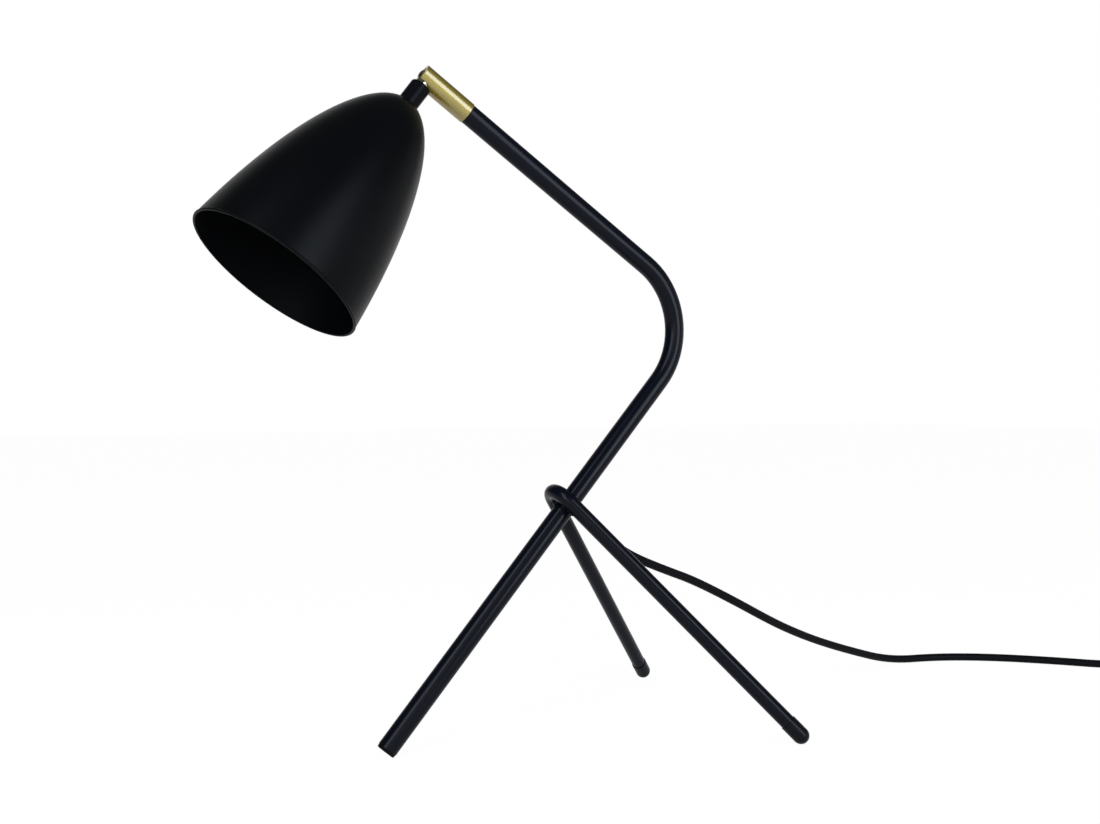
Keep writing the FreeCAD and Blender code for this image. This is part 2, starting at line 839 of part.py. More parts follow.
def make_spring_and_cup():
    """The cup that presses on the ball, and the spring behind it."""
    cup_bore = size("cup_bore") / 2
    cup_r = seat_r - size("fit_gap") * 2
    shelf = mouth_r + size("fit_gap")
    rim = root(seat_r * seat_r - shelf * shelf)
    hollow = root(seat_r * seat_r - cup_bore * cup_bore)
    cup_low = ball_z - shelf - size("cup_length")
    piece(
        "ball_cup",
        turned(
            "ball_cup",
            [
                (cup_bore, cup_low),
                (cup_r, cup_low),
                (cup_r, ball_z - shelf),
                (rim, ball_z - shelf),
                (cup_bore, ball_z - hollow),
            ],
            arcs=[(3, ball_z)],
            place=barrel_place,
        ),
    )
    wire_r = size("spring_wire") / 2
    mean = (cup_r - wire_r - size("fit_gap") * 2).value
    low = (nut_low + size("washer_depth") + size("nut_depth") + size("face_gap") + wire_r).value
    climb = (cup_low - size("face_gap") - wire_r).value - low
    turns = size("spring_turns").value

    def spot(share):
        angle = math.tau * turns * share
        way = V(-math.sin(angle), math.cos(angle), 0) * mean * math.tau * turns + V(0, 0, climb)
        return V(math.cos(angle) * mean, math.sin(angle) * mean, low + climb * share), unit(way)

    count = round(turns * 2)
    line = smooth_line([spot(number / count) for number in range(count + 1)])
    spring = solid("pressure_spring", swept_wire(line, wire_r.value))
    spring.Placement = barrel_place
    piece("pressure_spring", spring)


# ---------------------------------------------------------------- head
def make_ball():
    """The ball with its hollow neck, slotted behind so that the cores can reach it at any tilt."""
    bore = size("ball_bore") / 2
    neck_start = root(ball_r * ball_r - thread_r * thread_r)
    top = root(ball_r * ball_r - bore * bore)
    body = turned(
        "swivel_ball",
        [
            (bore, -top),
            (thread_r, neck_start),
            (thread_r, size("neck_end")),
            (bore, size("neck_end")),
        ],
        arcs=[(0, 0)],
        place=head_place,
    )
    # Round end first, then the slot from the middle of the ball out to the side of the arm.
    pocket(
        body, "lead_slot",
        [(-bore, bore), (bore, bore), (bore, -ball_r), (-bore, -ball_r)],
        "XZ_Plane", ball_r,
    )
    piece("swivel_ball", body)


def make_stem():
    fit = size("fit_gap")
    crown = size("shade_crown")
    stem = ring("stem_sleeve", thread_r + fit, tube_r, size("stem_start"), crown, head_place)
    rims = {round(size("stem_start").value, 6), round(crown.value, 6)}

    def is_outer_rim(edge):
        point = edge.valueAt(edge.FirstParameter)
        outer = abs(math.hypot(point.x, point.y) - tube_r.value) < 1e-4
        return outer and edge.Curve.TypeId == "Part::GeomCircle" and round(point.z, 6) in rims

    round_edges(stem, size("barrel_edge"), is_outer_rim)
    piece("stem_sleeve", stem)
    holder_low = crown + size("shade_wall") + size("washer_depth") + size("shade_nut_depth")
    piece(
        "stem_nipple",
        ring(
            "stem_nipple", nipple_bore, thread_r, size("neck_end") + size("face_gap"),
            holder_low + size("cap_boss_length"), head_place,
        ),
    )


def make_shade():
    """The spun shade: half an ellipsoid cut off at the mouth, a flat crown and a beaded rim."""
    wall = size("shade_wall")
    length = size("dome_half_length")
    width = size("dome_half_width")
    crown = size("shade_crown")
    mouth = size("shade_mouth")
    middle = size("dome_apex") + length

    def dome(name, inset):
        shape = doc.addObject("Part::Ellipsoid", name)
        bind(shape, Radius1=length - inset, Radius2=width - inset, Radius3=width - inset)
        bind(shape, **{"Placement.Base.z": middle})
        return shape

    def slab(name, low, high, radius):
        block = cylinder(name, radius, high - low)
        bind(block, **{"Placement.Base.z": low})
        return block

    outer_slab = slab("outer_slab", crown, mouth, width)
    inner_slab = slab("inner_slab", crown + wall, mouth + wall, width)
    outer = boolean("Common", "shade_outer", dome("dome_outer", formula(0)), outer_slab)
    inner = boolean("Common", "shade_inner", dome("dome_inner", wall), inner_slab)
    shell = boolean("Cut", "shade_shell", outer, inner)
    reach = mouth - middle
    mouth_radius = width * root(1 - reach * reach / (length * length))
    bead = doc.addObject("Part::Torus", "shade_bead_ring")
    bind(bead, Radius1=mouth_radius - size("shade_bead") / 2, Radius2=size("shade_bead"))
    bind(bead, **{"Placement.Base.z": mouth})
    beaded = boolean("Fuse", "shade_beaded", shell, bead)
    hole_r = thread_r + size("fit_gap")
    hole = slab("shade_hole", crown - wall, crown + wall * 2, hole_r)
    piece("shade", boolean("Cut", "shade", beaded, hole, head_place))
    washer_r = size("shade_washer_od") / 2
    washer_low = crown + wall
    washer_top = washer_low + size("washer_depth")
    washer = ring("shade_washer", hole_r, washer_r, washer_low, washer_top, head_place)
    piece("shade_washer", washer)
    flats = size("shade_nut_flats") / 2
    corners = flats * 2 / root(formula(3))
    points = [
        (corners, 0), (corners / 2, flats), (-corners / 2, flats),
        (-corners, 0), (-corners / 2, -flats), (corners / 2, -flats),
    ]
    lift = FreeCAD.Placement(V(0, 0, washer_top.value), FreeCAD.Rotation())
    nut = extrude("shade_nut", points, "XY_Plane", size("shade_nut_depth"), head_place * lift)
    hole = new_sketch(nut, "hole", "XY_Plane")
    add_circle(hole, hole_r)
    cut = nut.newObject("PartDesign::Pocket", "shade_nut_hole")
    cut.Profile = hole
    cut.Reversed = True
    bind(cut, Length=size("shade_nut_depth"))
    doc.recompute()
    piece("shade_nut", nut)


def make_lampholder():
    fit = size("fit_gap")
    face = size("face_gap")
    low = size("shade_crown") + size("shade_wall") + size("washer_depth") + size("shade_nut_depth") + face
    boss_r = size("cap_boss_od") / 2
    outer_r = size("holder_od") / 2
    inner_r = outer_r - size("holder_wall")
    wall = size("holder_wall")
    boss_top = low + size("cap_boss_length")
    cap_top = low + size("cap_length")
    shoulder = boss_top + size("cap_shoulder")
    cap = turned(
        "holder_cap",
        [
            (thread_r + fit, low),
            (boss_r, low),
            (boss_r, boss_top),
            (outer_r, shoulder),
            (outer_r, cap_top),
            (inner_r, cap_top),
            (inner_r, shoulder + wall),
            (thread_r + fit, boss_top + wall),
        ],
        place=head_place,
    )
    piece("holder_cap", cap)
    body_top = cap_top + size("body_length")
    shell_r = size("shell_bore") / 2 + size("shell_wall")
    flange_r = shell_r + size("shell_flange")
    lip_r = shell_r + fit
    body_low = cap_top + face
    piece(
        "holder_body",
        turned(
            "holder_body",
            [
                (flange_r + fit, body_low),
                (outer_r, body_low),
                (outer_r, body_top - size("body_lip")),
                (outer_r - size("body_lip"), body_top),
                (lip_r, body_top),
                (lip_r, body_top - size("body_lip") * 2),
                (flange_r + fit, body_top - size("body_lip") * 2),
            ],
            place=head_place,
        ),
    )
    insert_low = cap_top - size("insert_depth")
    insert_r = inner_r - fit
    insert_top = cap_top + face
    shell_low = insert_top + size("contact_height") + face
    ledge = shell_low - face * 2
    ledge_r = flange_r - size("shell_flange") / 2
    piece(
        "holder_insert",
        turned(
            "holder_insert",
            [
                (0, insert_low),
                (insert_r, insert_low),
                (insert_r, insert_top),
                (flange_r, insert_top),
                (flange_r, ledge),
                (ledge_r, ledge),
                (ledge_r, insert_top),
                (0, insert_top),
            ],
            place=head_place,
        ),
    )
    piece(
        "screw_shell",
        turned(
            "screw_shell",
            [
                (size("shell_bore") / 2, shell_low),
                (flange_r, shell_low),
                (flange_r, shell_low + size("shell_wall") * 2),
                (shell_r, shell_low + size("shell_wall") * 2),
                (shell_r, shell_low + size("shell_length")),
                (size("shell_bore") / 2, shell_low + size("shell_length")),
            ],
            place=head_place,
        ),
    )
    contact_r = size("contact_od") / 2
    piece(
        "centre_contact",
        turned(
            "centre_contact",
            [
                (0, insert_top),
                (contact_r, insert_top),
                (contact_r, insert_top + size("shell_wall")),
                (contact_r / 2, insert_top + size("contact_height")),
                (0, insert_top + size("contact_height")),
            ],
            place=head_place,
        ),
    )
    screws = []
    for name, side in (("left", -1), ("right", 1)):
        head = size("screw_head_depth")
        lift = V(side * size("terminal_spread").value, 0, insert_low.value)
        screw = ring(
            f"terminal_screw_{name}", None, size("screw_head_od") / 2, -head, 0,
            head_place * FreeCAD.Placement(lift, FreeCAD.Rotation()),
        )
        screws.append(screw)
    piece("terminal_screws", boolean("Fuse", "terminal_screws", screws[0], screws[1]))
    grub_r = size("screw_od") / 2
    grub = cylinder("cap_lock_screw_blank", grub_r, boss_r - thread_r - fit)
    place = FreeCAD.Placement(
        V((thread_r + fit).value, 0, (low + size("cap_boss_length") / 2).value),
        FreeCAD.Rotation(V(0, 0, 1), V(1, 0, 0)),
    )
    grub.Placement = place
    boss_core = cylinder_at("boss_core", boss_r, low, boss_top)
    piece("cap_lock_screw", boolean("Common", "cap_lock_screw", grub, boss_core, head_place))
    hole = cylinder("cap_lock_hole_blank", grub_r, boss_r)
    hole.Placement = place
    wide_core = cylinder_at("boss_core_wide", outer_r, low, boss_top)
    placed_hole = boolean("Common", "cap_lock_hole", hole, wide_core, head_place)
    drilled = boolean("Cut", "holder_cap_drilled", cap, placed_hole)
    piece("holder_cap", drilled)
    cores = []
    for side in (-1, 1):
        shift = V(side * size("core_spread").value, 0, 0)
        begin, finish = V(0, 0, size("core_od").value), V(0, 0, insert_low.value)
        edge = Part.LineSegment(shift + begin, shift + finish).toShape()
        cores.append(swept_wire([edge], size("core_od").value / 2))
    leads = solid("head_leads", Part.makeCompound(cores))
    leads.Placement = head_place
    piece("head_leads", leads)


def cylinder_at(name, radius, low, high):
    block = cylinder(name, radius, high - low)
    bind(block, **{"Placement.Base.z": low})
    return block


# ---------------------------------------------------------------- cord
cord_r = size("cord_od") / 2
switch_half = size("switch_length") / 2
switch_parting = size("table_clearance") + size("switch_base_depth")
switch_reach = switch_half + size("switch_boot")


def heading(alias):
    """A level direction, from its angle in the sheet."""
    angle = math.radians(size(alias).value)
    return V(math.cos(angle), math.sin(angle), 0)


def place_on_table(x, y, angle, height=0):
    """A placement on the table whose X points along the angle in the sheet."""
    turn = FreeCAD.Rotation(V(0, 0, 1), size(angle).value)
    return FreeCAD.Placement(V(size(x).value, size(y).value, formula(height).value), turn)


def round_route(points, radius):
    """Runs joined by arcs that take up 0.45 of the shorter run at each side of a corner."""
    edges = []
    bends = []
    here = points[0]
    for before, at, after in zip(points, points[1:], points[2:]):
        into, out = at - before, after - at
        cut = 0.45 * min(into.Length, out.Length)
        bend = cut / math.tan(into.getAngle(out) / 2)
        start, end = at - unit(into) * cut, at + unit(out) * cut
        edges.append(Part.LineSegment(here, start).toShape())
        edges.append(arc_between(start, into, end))
        bends.append(bend)
        here = end
    edges.append(Part.LineSegment(here, points[-1]).toShape())
    return swept_wire(edges, radius), sum(edge.Length for edge in edges), bends


def cord(node, points):
    shape, length, bends = round_route(points, cord_r.value)
    volume = math.pi * cord_r.value ** 2 * length
    print(f"{node}: length {length:.1f}, tightest bend {min(bends):.1f}")
    print(f"{node}: volume {shape.Volume:.0f} against {volume:.0f} for a straight cord")
    piece(node, solid(node, shape))
    return length


def make_cord_to_switch(cord_exit):
    """From the outlet down behind the lamp to the table, then across it to the switch."""
    switch = V(size("switch_x").value, size("switch_y").value, size("switch_entry").value)
    way = heading("switch_turn")
    entry = switch - way * switch_reach.value
    lie = cord_r.value + size("cord_lift").value
    route = [
        cord_exit,
        cord_exit + tube_out * size("first_run").value,
        V(184.0, 2.2, 119.4),
        V(216.6, 6.0, 106.4),
        V(243.9, 9.0, 96.3),
        V(284.6, 14.0, 76.8),
        V(324.3, 19.0, 56.5),
        V(348.1, 22.0, 45.6),
        V(378.4, 27.0, 33.4),
        V(419.1, 33.0, 19.6),
        V(473.6, 40.0, lie),
        V(520.0, 31.0, lie),
        V(562.0, 8.0, lie),
        V(601.0, -27.0, lie),
        V(630.0, -59.0, lie),
        entry - way * size("switch_run").value,
        entry,
    ]
    return cord("cord_to_switch", route)


def make_cord_to_coil():
    """From the switch round to the start of the coil."""
    switch = V(size("switch_x").value, size("switch_y").value, size("switch_entry").value)
    way = heading("switch_turn")
    leave = switch + way * switch_reach.value
    start, _, way_in, _ = coil_ends()
    lie = cord_r.value + size("cord_lift").value
    route = [
        leave,
        leave + way * size("switch_leave").value,
        V(765.5, -187.0, lie),
        V(759.0, -214.0, lie),
        V(738.0, -232.5, lie),
        start - way_in * size("coil_run").value,
        start,
    ]
    return cord("cord_to_coil", route)


def make_cord_to_plug():
    """From the top of the coil down to the plug."""
    _, end, _, way_out = coil_ends()
    plug = V(size("plug_x").value, size("plug_y").value, plug_axis.value)
    lie = cord_r.value + size("cord_lift").value
    route = [
        end,
        end + way_out * size("coil_leave").value,
        V(620.0, -231.0, lie),
        V(592.0, -233.0, lie),
        plug - heading("plug_turn") * size("plug_run").value,
        plug,
    ]
    return cord("cord_to_plug", route)


# ---------------------------------------------------------------- coil
def coil_spot(turns):
    """The place on the coil's line, and its direction, after so many turns."""
    half = size("coil_turns").value / 2
    pitch = size("coil_pitch").value
    inner = (size("coil_middle").value - pitch * half) / 2
    beyond = turns - half
    radius = inner + pitch * abs(beyond)
    angle = math.radians(size("coil_start").value) - math.tau * turns
    low = cord_r.value + size("tie_thickness").value + size("cord_lift").value * 2
    climb = min(max(beyond * 2, -0.5), 0.5) * math.pi
    height = low + pitch * (1 + math.sin(climb)) / 2
    outward = V(math.cos(angle), math.sin(angle), 0)
    along = V(math.sin(angle), -math.cos(angle), 0)
    growth = 0 if abs(beyond) < 1e-6 else math.copysign(pitch / math.tau, beyond)
    steepness = pitch * math.cos(climb) if abs(climb) < math.pi / 2 else 0
    way = along * radius + outward * growth + V(0, 0, steepness / 2)
    centre = V(size("coil_x").value, size("coil_y").value, height)
    return centre + outward * radius, unit(way)


def coil_ends():
    """Both ends of the coil's straight leads, with the directions in and out."""
    first, way_in = coil_spot(0)
    last, way_out = coil_spot(size("coil_turns").value)
    lead = size("cord_od").value * 1.1
    return first - way_in * lead, last + way_out * lead, way_in, way_out


def make_coil():
    """The spare cord, wound in two layers that share one unbroken tube."""
    start, end, _, _ = coil_ends()
    count = round(size("coil_turns").value * 4)
    spots = [coil_spot(quarter / 4) for quarter in range(count + 1)]
    edges = [Part.LineSegment(start, spots[0][0]).toShape()]
    edges.extend(smooth_line(spots))
    edges.append(Part.LineSegment(spots[-1][0], end).toShape())
    length = sum(edge.Length for edge in edges)
    shape = swept_wire(edges, cord_r.value)
    straight = math.pi * cord_r.value ** 2 * length
    print(f"coil: length {length:.1f}, volume {shape.Volume:.0f} against {straight:.0f} straight")
    print(f"coil: least gap to itself {self_gap(edges):.2f}")
    piece("coil", solid("coil", shape))
    return length


def self_gap(edges):
    """The least gap between stretches of the coil that are over half a turn apart."""
    step = size("cord_od").value / 4
    points = []
    for edge in edges:
        count = max(2, round(edge.Length / step))
        points.extend(edge.discretize(Number=count)[:-1])
    apart = round(size("coil_middle").value * math.pi / 2 / step / 2)
    least = min(
        (points[i] - points[j]).Length
        for i in range(len(points))
        for j in range(i + apart, len(points))
    )
    return least - size("cord_od").value


def make_coil_tie():
    """A strap round all the turns, just past the place where the cord comes in."""
    half = size("coil_turns") / 2
    pitch = size("coil_pitch")
    inner = (size("coil_middle") - pitch * half) / 2
    begun = size("tie_share")
    half_width = size("tie_width") / 2
    play = size("tie_play")
    thick = size("tie_thickness")
    low = size("cord_lift")
    share = (half - begun).value % 1
    tightest = inner + pitch * min(share, 1 - share) - cord_r
    near = tightest - half_width * half_width / tightest - play
    far = inner + pitch * (half - begun) + cord_r + play
    top = low + thick + size("cord_lift") + size("cord_od") + pitch + play
    angle = size("coil_start").value - math.degrees(math.tau) * begun.value
    turn = FreeCAD.Rotation(V(0, 0, 1), angle)
    place = FreeCAD.Placement(V(size("coil_x").value, size("coil_y").value, 0), turn)
    outer = [
        (near - thick, low), (far + thick, low),
        (far + thick, top + thick), (near - thick, top + thick),
    ]
    tie = extrude("coil_tie", outer, "XZ_Plane", size("tie_width"), place, midplane=True)
    hollow = [(near, low + thick), (far, low + thick), (far, top), (near, top)]
    pocket(tie, "hollow", hollow, "XZ_Plane", size("tie_width") * 2, midplane=True)
    piece("coil_tie", tie)


# ---------------------------------------------------------------- switch
def box_outline(half_length, half_width):
    return [
        (-half_length, -half_width), (half_length, -half_width),
        (half_length, half_width), (-half_length, half_width),
    ]


def upright(edge):
    a, b = edge.valueAt(edge.FirstParameter), edge.valueAt(edge.LastParameter)
    return math.hypot(a.x - b.x, a.y - b.y) < 1e-6


def shell_half(name, depth, place):
    """One half of the switch's case: a rounded tray, open at z = 0."""
    half_width = size("switch_width") / 2
    wall = size("switch_wall")
    body = extrude(name, box_outline(switch_half, half_width), "XY_Plane", depth, place)
    round_edges(body, size("switch_corner"), upright)

    def is_top_rim(edge):
        a, b = edge.valueAt(edge.FirstParameter), edge.valueAt(edge.LastParameter)
        return min(a.z, b.z) > depth.value - 1e-6

    round_edges(body, size("switch_edge"), is_top_rim)
    inside = box_outline(switch_half - wall, half_width - wall)
    pocket(body, "hollow", inside, "XY_Plane", depth - wall)
    return body


def switch_screw_spots():
    return [(size("screw_x"), size("screw_y")), (-size("screw_x"), -size("screw_y"))]


def make_switch():
    """A rocker switch in the cord: tray, cover, rocker and two screws from below."""
    base_place = place_on_table("switch_x", "switch_y", "switch_turn", switch_parting)
    turned_over = FreeCAD.Placement(V(0, 0, 0), FreeCAD.Rotation(V(1, 0, 0), 180))
    base = shell_half("switch_base_tray", size("switch_base_depth"), base_place * turned_over)
    cover = shell_half("switch_cover_tray", size("switch_cover_depth"), base_place)
    play = size("rocker_gap")
    window = box_outline(size("rocker_length") / 2 + play, size("rocker_width") / 2 + play)
    pocket(cover, "window", window, "XY_Plane", size("switch_cover_depth") * 2)
    wall = size("switch_wall")
    roof = size("switch_cover_depth") - wall
    screw_r = size("screw_od") / 2
    head_r = size("screw_head_od") / 2
    fit = size("fit_gap")
    bottom = -size("switch_base_depth")
    sunk = bottom + size("screw_head_depth")
    # bosses for the screws and lugs for the rocker's pin, in the switch's own axes
    cover_adds, cover_holes, base_adds, base_holes, screws = [], [], [], [], []
    for number, (x, y) in enumerate(switch_screw_spots()):
        cover_adds.append(post(f"cover_boss{number}", head_r, x, y, formula(0), roof + fit))
        cover_holes.append(post(f"cover_hole{number}", screw_r + fit, x, y, -fit, roof - wall))
        base_adds.append(post(f"base_boss{number}", head_r + wall / 2, x, y, bottom + fit, formula(0)))
        base_holes.append(post(f"base_hole{number}", screw_r + fit, x, y, bottom - fit, fit))
        base_holes.append(post(f"base_sink{number}", head_r + fit, x, y, bottom - fit, sunk + fit))
        shank_low = sunk - size("screw_head_depth") / 2
        screws.append(post(f"screw_shank{number}", screw_r, x, y, shank_low, roof - wall - fit))
        screws.append(post(f"screw_head{number}", head_r, x, y, bottom, sunk))
    pin_r = size("rocker_pin") / 2
    pivot = roof - wall / 2 - pin_r
    lug_low = pivot - pin_r - wall / 2
    for number, side in enumerate((-1, 1)):
        lug = doc.addObject("Part::Box", f"cover_lug{number}")
        bind(lug, Length=wall * 3, Width=wall, Height=roof + fit - lug_low)
        inner = (size("rocker_width") / 2 + play).value
        lug.Placement.Base = V(-wall.value * 1.5, inner if side > 0 else -inner - wall.value, lug_low.value)
        cover_adds.append(lug)
    pin_hole = cylinder("cover_pin_hole", pin_r + size("turning_gap"), size("rocker_width") * 2)
    pin_hole.Placement = FreeCAD.Placement(
        V(0, size("rocker_width").value, pivot.value), FreeCAD.Rotation(V(0, 0, 1), V(0, -1, 0))
    )
    cover_holes.append(pin_hole)
    piece("switch_cover", carve("switch_cover", cover, cover_adds, cover_holes, base_place))
    piece("switch_base", carve("switch_base", base, base_adds, base_holes, base_place))
    piece("switch_screws", carve("switch_screws", None, screws, [], base_place))
    rocker_place = base_place * FreeCAD.Placement(
        V(0, 0, pivot.value), FreeCAD.Rotation(V(0, 1, 0), size("rocker_tilt").value)
    )
    make_rocker(rocker_place, pin_r)


def make_switch_boots():
    """A tapered sleeve where the cord enters the case, and one where it leaves."""
    place = place_on_table("switch_x", "switch_y", "switch_turn", size("switch_entry"))
    boots = []
    for name, side in (("in", -1), ("out", 1)):
        outline = [
            (0, switch_half),
            (size("switch_boot_root") / 2, switch_half),
            (cord_r + size("fit_gap") * 4, switch_reach),
            (0, switch_reach),
        ]
        boot = turned(f"switch_boot_{name}", outline)
        boot.Placement = FreeCAD.Placement(V(0, 0, 0), FreeCAD.Rotation(V(0, 0, 1), V(side, 0, 0)))
        boots.append(boot)
    both = fuse("switch_boots", boots)
    both.Placement = place
    doc.recompute()
    piece("switch_boots", both)


def post(name, radius, x, y, low, high):
    rod = cylinder(name, radius, high - low)
    bind(rod, **{"Placement.Base.x": x, "Placement.Base.y": y, "Placement.Base.z": low})
    return rod


def fuse(name, things):
    if len(things) == 1:
        return things[0]
    result = doc.addObject("Part::MultiFuse", name)
    result.Shapes = things
    doc.recompute()
    return result


def carve(name, body, adds, holes, place):
    """Adds and cuts things that are placed in the axes of the assembly they belong to."""
    start = []
    if body is not None:
        body.Placement = place.inverse() * body.Placement
        start = [body]
    result = fuse(f"{name}_solid", start + adds)
    if holes:
        result = boolean("Cut", f"{name}_cut", result, fuse(f"{name}_holes", holes))
    result.Placement = place
    doc.recompute()
    return result


def make_rocker(place, pin_r):
    """The rocker: round ends about its pin, and a shallow valley on top."""
    radius = size("rocker_length") / 2
    low = -size("rocker_skirt")
    high = size("rocker_crown")
    outline = [
        (-radius * cos(low), radius * sin(low)),
        (radius * cos(low), radius * sin(low)),
        (radius * cos(high), radius * sin(high)),
        (0, radius * sin(high) - size("rocker_valley")),
        (-radius * cos(high), radius * sin(high)),
    ]
    body = new_body("switch_rocker_block")
    sketch = new_sketch(body, "outline", "XZ_Plane")
    draw_outline(sketch, outline, arcs=[(1, 0), (4, 0)])
    pad = body.newObject("PartDesign::Pad", "switch_rocker_pad")
    pad.Profile = sketch
    pad.Midplane = True
    bind(pad, Length=size("rocker_width"))
    sketch.Visibility = False
    doc.recompute()
    half = size("rocker_width") / 2 + size("rocker_gap") + size("switch_wall")
    pin = cylinder("rocker_pin_rod", pin_r, half * 2)
    pin.Placement = FreeCAD.Placement(V(0, half.value, 0), FreeCAD.Rotation(V(0, 0, 1), V(0, -1, 0)))
    whole = fuse("switch_rocker", [body, pin])
    whole.Placement = place
    doc.recompute()
    piece("switch_rocker", whole)


# ---------------------------------------------------------------- plug
plug_axis = size("plug_depth") / 2 + size("table_clearance")


def make_plug():
    """A flat two-pin plug, moulded with its tail."""
    place = place_on_table("plug_x", "plug_y", "plug_turn", plug_axis)
    tail = size("plug_tail")
    end = tail + size("plug_length")
    half = size("plug_width") / 2
    shoulder = half * size("plug_taper")
    thick = size("plug_depth") / 2
    outline = [(tail, -shoulder), (end, -half), (end, half), (tail, shoulder)]
    body = extrude("plug_block", outline, "XY_Plane", size("plug_depth"), midplane=True)
    round_edges(body, size("plug_corner"), upright)

    def is_rim(edge):
        a, b = edge.valueAt(edge.FirstParameter), edge.valueAt(edge.LastParameter)
        return abs(abs(a.z) - thick.value) < 1e-6 and abs(a.z - b.z) < 1e-6

    round_edges(body, size("plug_edge_round"), is_rim)
    cone_end = tail + tail / 4
    root_r = size("plug_tail_root") / 2
    cone_outline = [(0, 0), (cord_r + size("cord_lift") * 2, 0), (root_r, cone_end), (0, cone_end)]
    cone = turned("plug_tail_cone", cone_outline)
    cone.Placement = FreeCAD.Placement(V(0, 0, 0), FreeCAD.Rotation(V(0, 0, 1), V(1, 0, 0)))
    whole = fuse("plug_body", [body, cone])
    whole.Placement = place
    doc.recompute()
    piece("plug_body", whole)

    def is_tip(edge):
        return edge.valueAt(edge.FirstParameter).z > size("pin_od").value

    pins = []
    for name, side in (("left", 1), ("right", -1)):
        pin = ring(f"plug_pin_{name}", None, size("pin_od") / 2, 0, size("pin_length"))
        round_edges(pin, size("pin_od") / 5, is_tip, "PartDesign::Chamfer")
        pin.Placement = FreeCAD.Placement(
            V(end.value, side * size("pin_spacing").value / 2, 0), FreeCAD.Rotation(V(0, 0, 1), V(1, 0, 0))
        )
        pins.append(pin)
    both = fuse("plug_pins", pins)
    both.Placement = place
    doc.recompute()
    piece("plug_pins", both)


# ---------------------------------------------------------------- build
make_main_tube()
make_leg_rod()
make_feet()
make_welds()
exit_point, lead_start = make_outlet()
make_tube_leads(lead_start)
make_arm_end()
make_barrel()
make_spring_and_cup()
make_ball()
make_stem()
make_shade()
make_lampholder()
lengths = [make_cord_to_switch(exit_point), make_cord_to_coil(), make_coil(), make_cord_to_plug()]
print(f"cord in all: {sum(lengths):.0f}")
make_coil_tie()
make_switch()
make_switch_boots()
make_plug()

doc.recompute()
for thing in doc.Objects:
    if "Invalid" in thing.State or "Error" in thing.State:
        raise RuntimeError(f"{thing.Label} did not compute: {thing.State}")
os.makedirs("parts", exist_ok=True)
for node, thing in pieces.items():
    shape = thing.Shape
    if shape.isNull() or not shape.isValid():
        raise RuntimeError(f"{node} is not a valid shape")
    shape.exportStep(f"parts/{node}.step")
    print(f"{node}: {len(shape.Solids)} solids, {shape.Volume:.0f} mm3")
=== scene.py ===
"""Dresses the tripod table lamp: finishes, cord, studio and camera.

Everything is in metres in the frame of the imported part: the origin is where the front foot
touches the table, the shade looks towards -X, the rear legs stand at +X, and +Z is up.
"""

import json
import logging
import math
from dataclasses import dataclass, field
from enum import Enum
from typing import Any, Sequence

import bpy
from mathutils import Matrix, Vector


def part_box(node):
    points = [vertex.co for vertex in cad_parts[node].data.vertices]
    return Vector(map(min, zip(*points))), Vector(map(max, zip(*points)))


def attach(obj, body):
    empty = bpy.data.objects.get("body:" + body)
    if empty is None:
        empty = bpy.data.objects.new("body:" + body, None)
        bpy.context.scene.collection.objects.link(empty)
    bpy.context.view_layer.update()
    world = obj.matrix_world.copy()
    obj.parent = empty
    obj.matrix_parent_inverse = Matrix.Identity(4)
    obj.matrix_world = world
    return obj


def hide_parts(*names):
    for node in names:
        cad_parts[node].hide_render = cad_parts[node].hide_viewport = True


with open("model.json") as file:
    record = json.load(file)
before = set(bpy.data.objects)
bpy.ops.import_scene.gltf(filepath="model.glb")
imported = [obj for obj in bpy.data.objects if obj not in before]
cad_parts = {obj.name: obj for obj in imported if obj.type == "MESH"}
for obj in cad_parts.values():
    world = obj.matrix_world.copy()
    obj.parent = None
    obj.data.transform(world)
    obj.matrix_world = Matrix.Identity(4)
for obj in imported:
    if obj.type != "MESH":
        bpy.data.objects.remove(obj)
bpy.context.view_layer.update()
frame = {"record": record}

LOG = logging.getLogger("lamp")
MM = 0.001
Point = tuple[float, float, float]
Span = tuple[float, float]

# A Mix node has a pair of inputs for each kind of value, all with the same names, so its
# sockets go by number.
FACTOR = 0
FLOAT_A = 2
FLOAT_B = 3
COLOUR_A = 6
COLOUR_B = 7
MIXED_FLOAT = 0
MIXED_COLOUR = 2

# Octaves of a noise: soft blots, an even grain, or blots with ragged edges.
SOFT = 1.0
EVEN = 2.0
RAGGED = 3.0

# A noise runs from 0 to 1, but most of it lies in the narrower span.
WHOLE_NOISE: Span = (0.0, 1.0)
MOST_NOISE: Span = (0.3, 0.7)

# The refractive index of paints, rubbers and plastics.
POLYMER_IOR = 1.5

WHITE = (1.0, 1.0, 1.0, 1.0)


def linear(hex_colour: str) -> tuple[float, float, float, float]:
    """Turns an sRGB hex value into the linear colour that a shader takes.

    Args:
        hex_colour: Six hex digits, with or without a leading hash.

    Returns:
        Linear red, green and blue, and an alpha of 1.
    """
    digits = hex_colour.lstrip("#")
    channels = [int(digits[i : i + 2], 16) / 255 for i in (0, 2, 4)]
    curve = [c / 12.92 if c <= 0.04045 else ((c + 0.055) / 1.055) ** 2.4 for c in channels]
    return (curve[0], curve[1], curve[2], 1.0)


def per_metre(size_mm: float) -> float:
    """The noise scale whose features are this many millimetres across."""
    return 1000.0 / size_mm


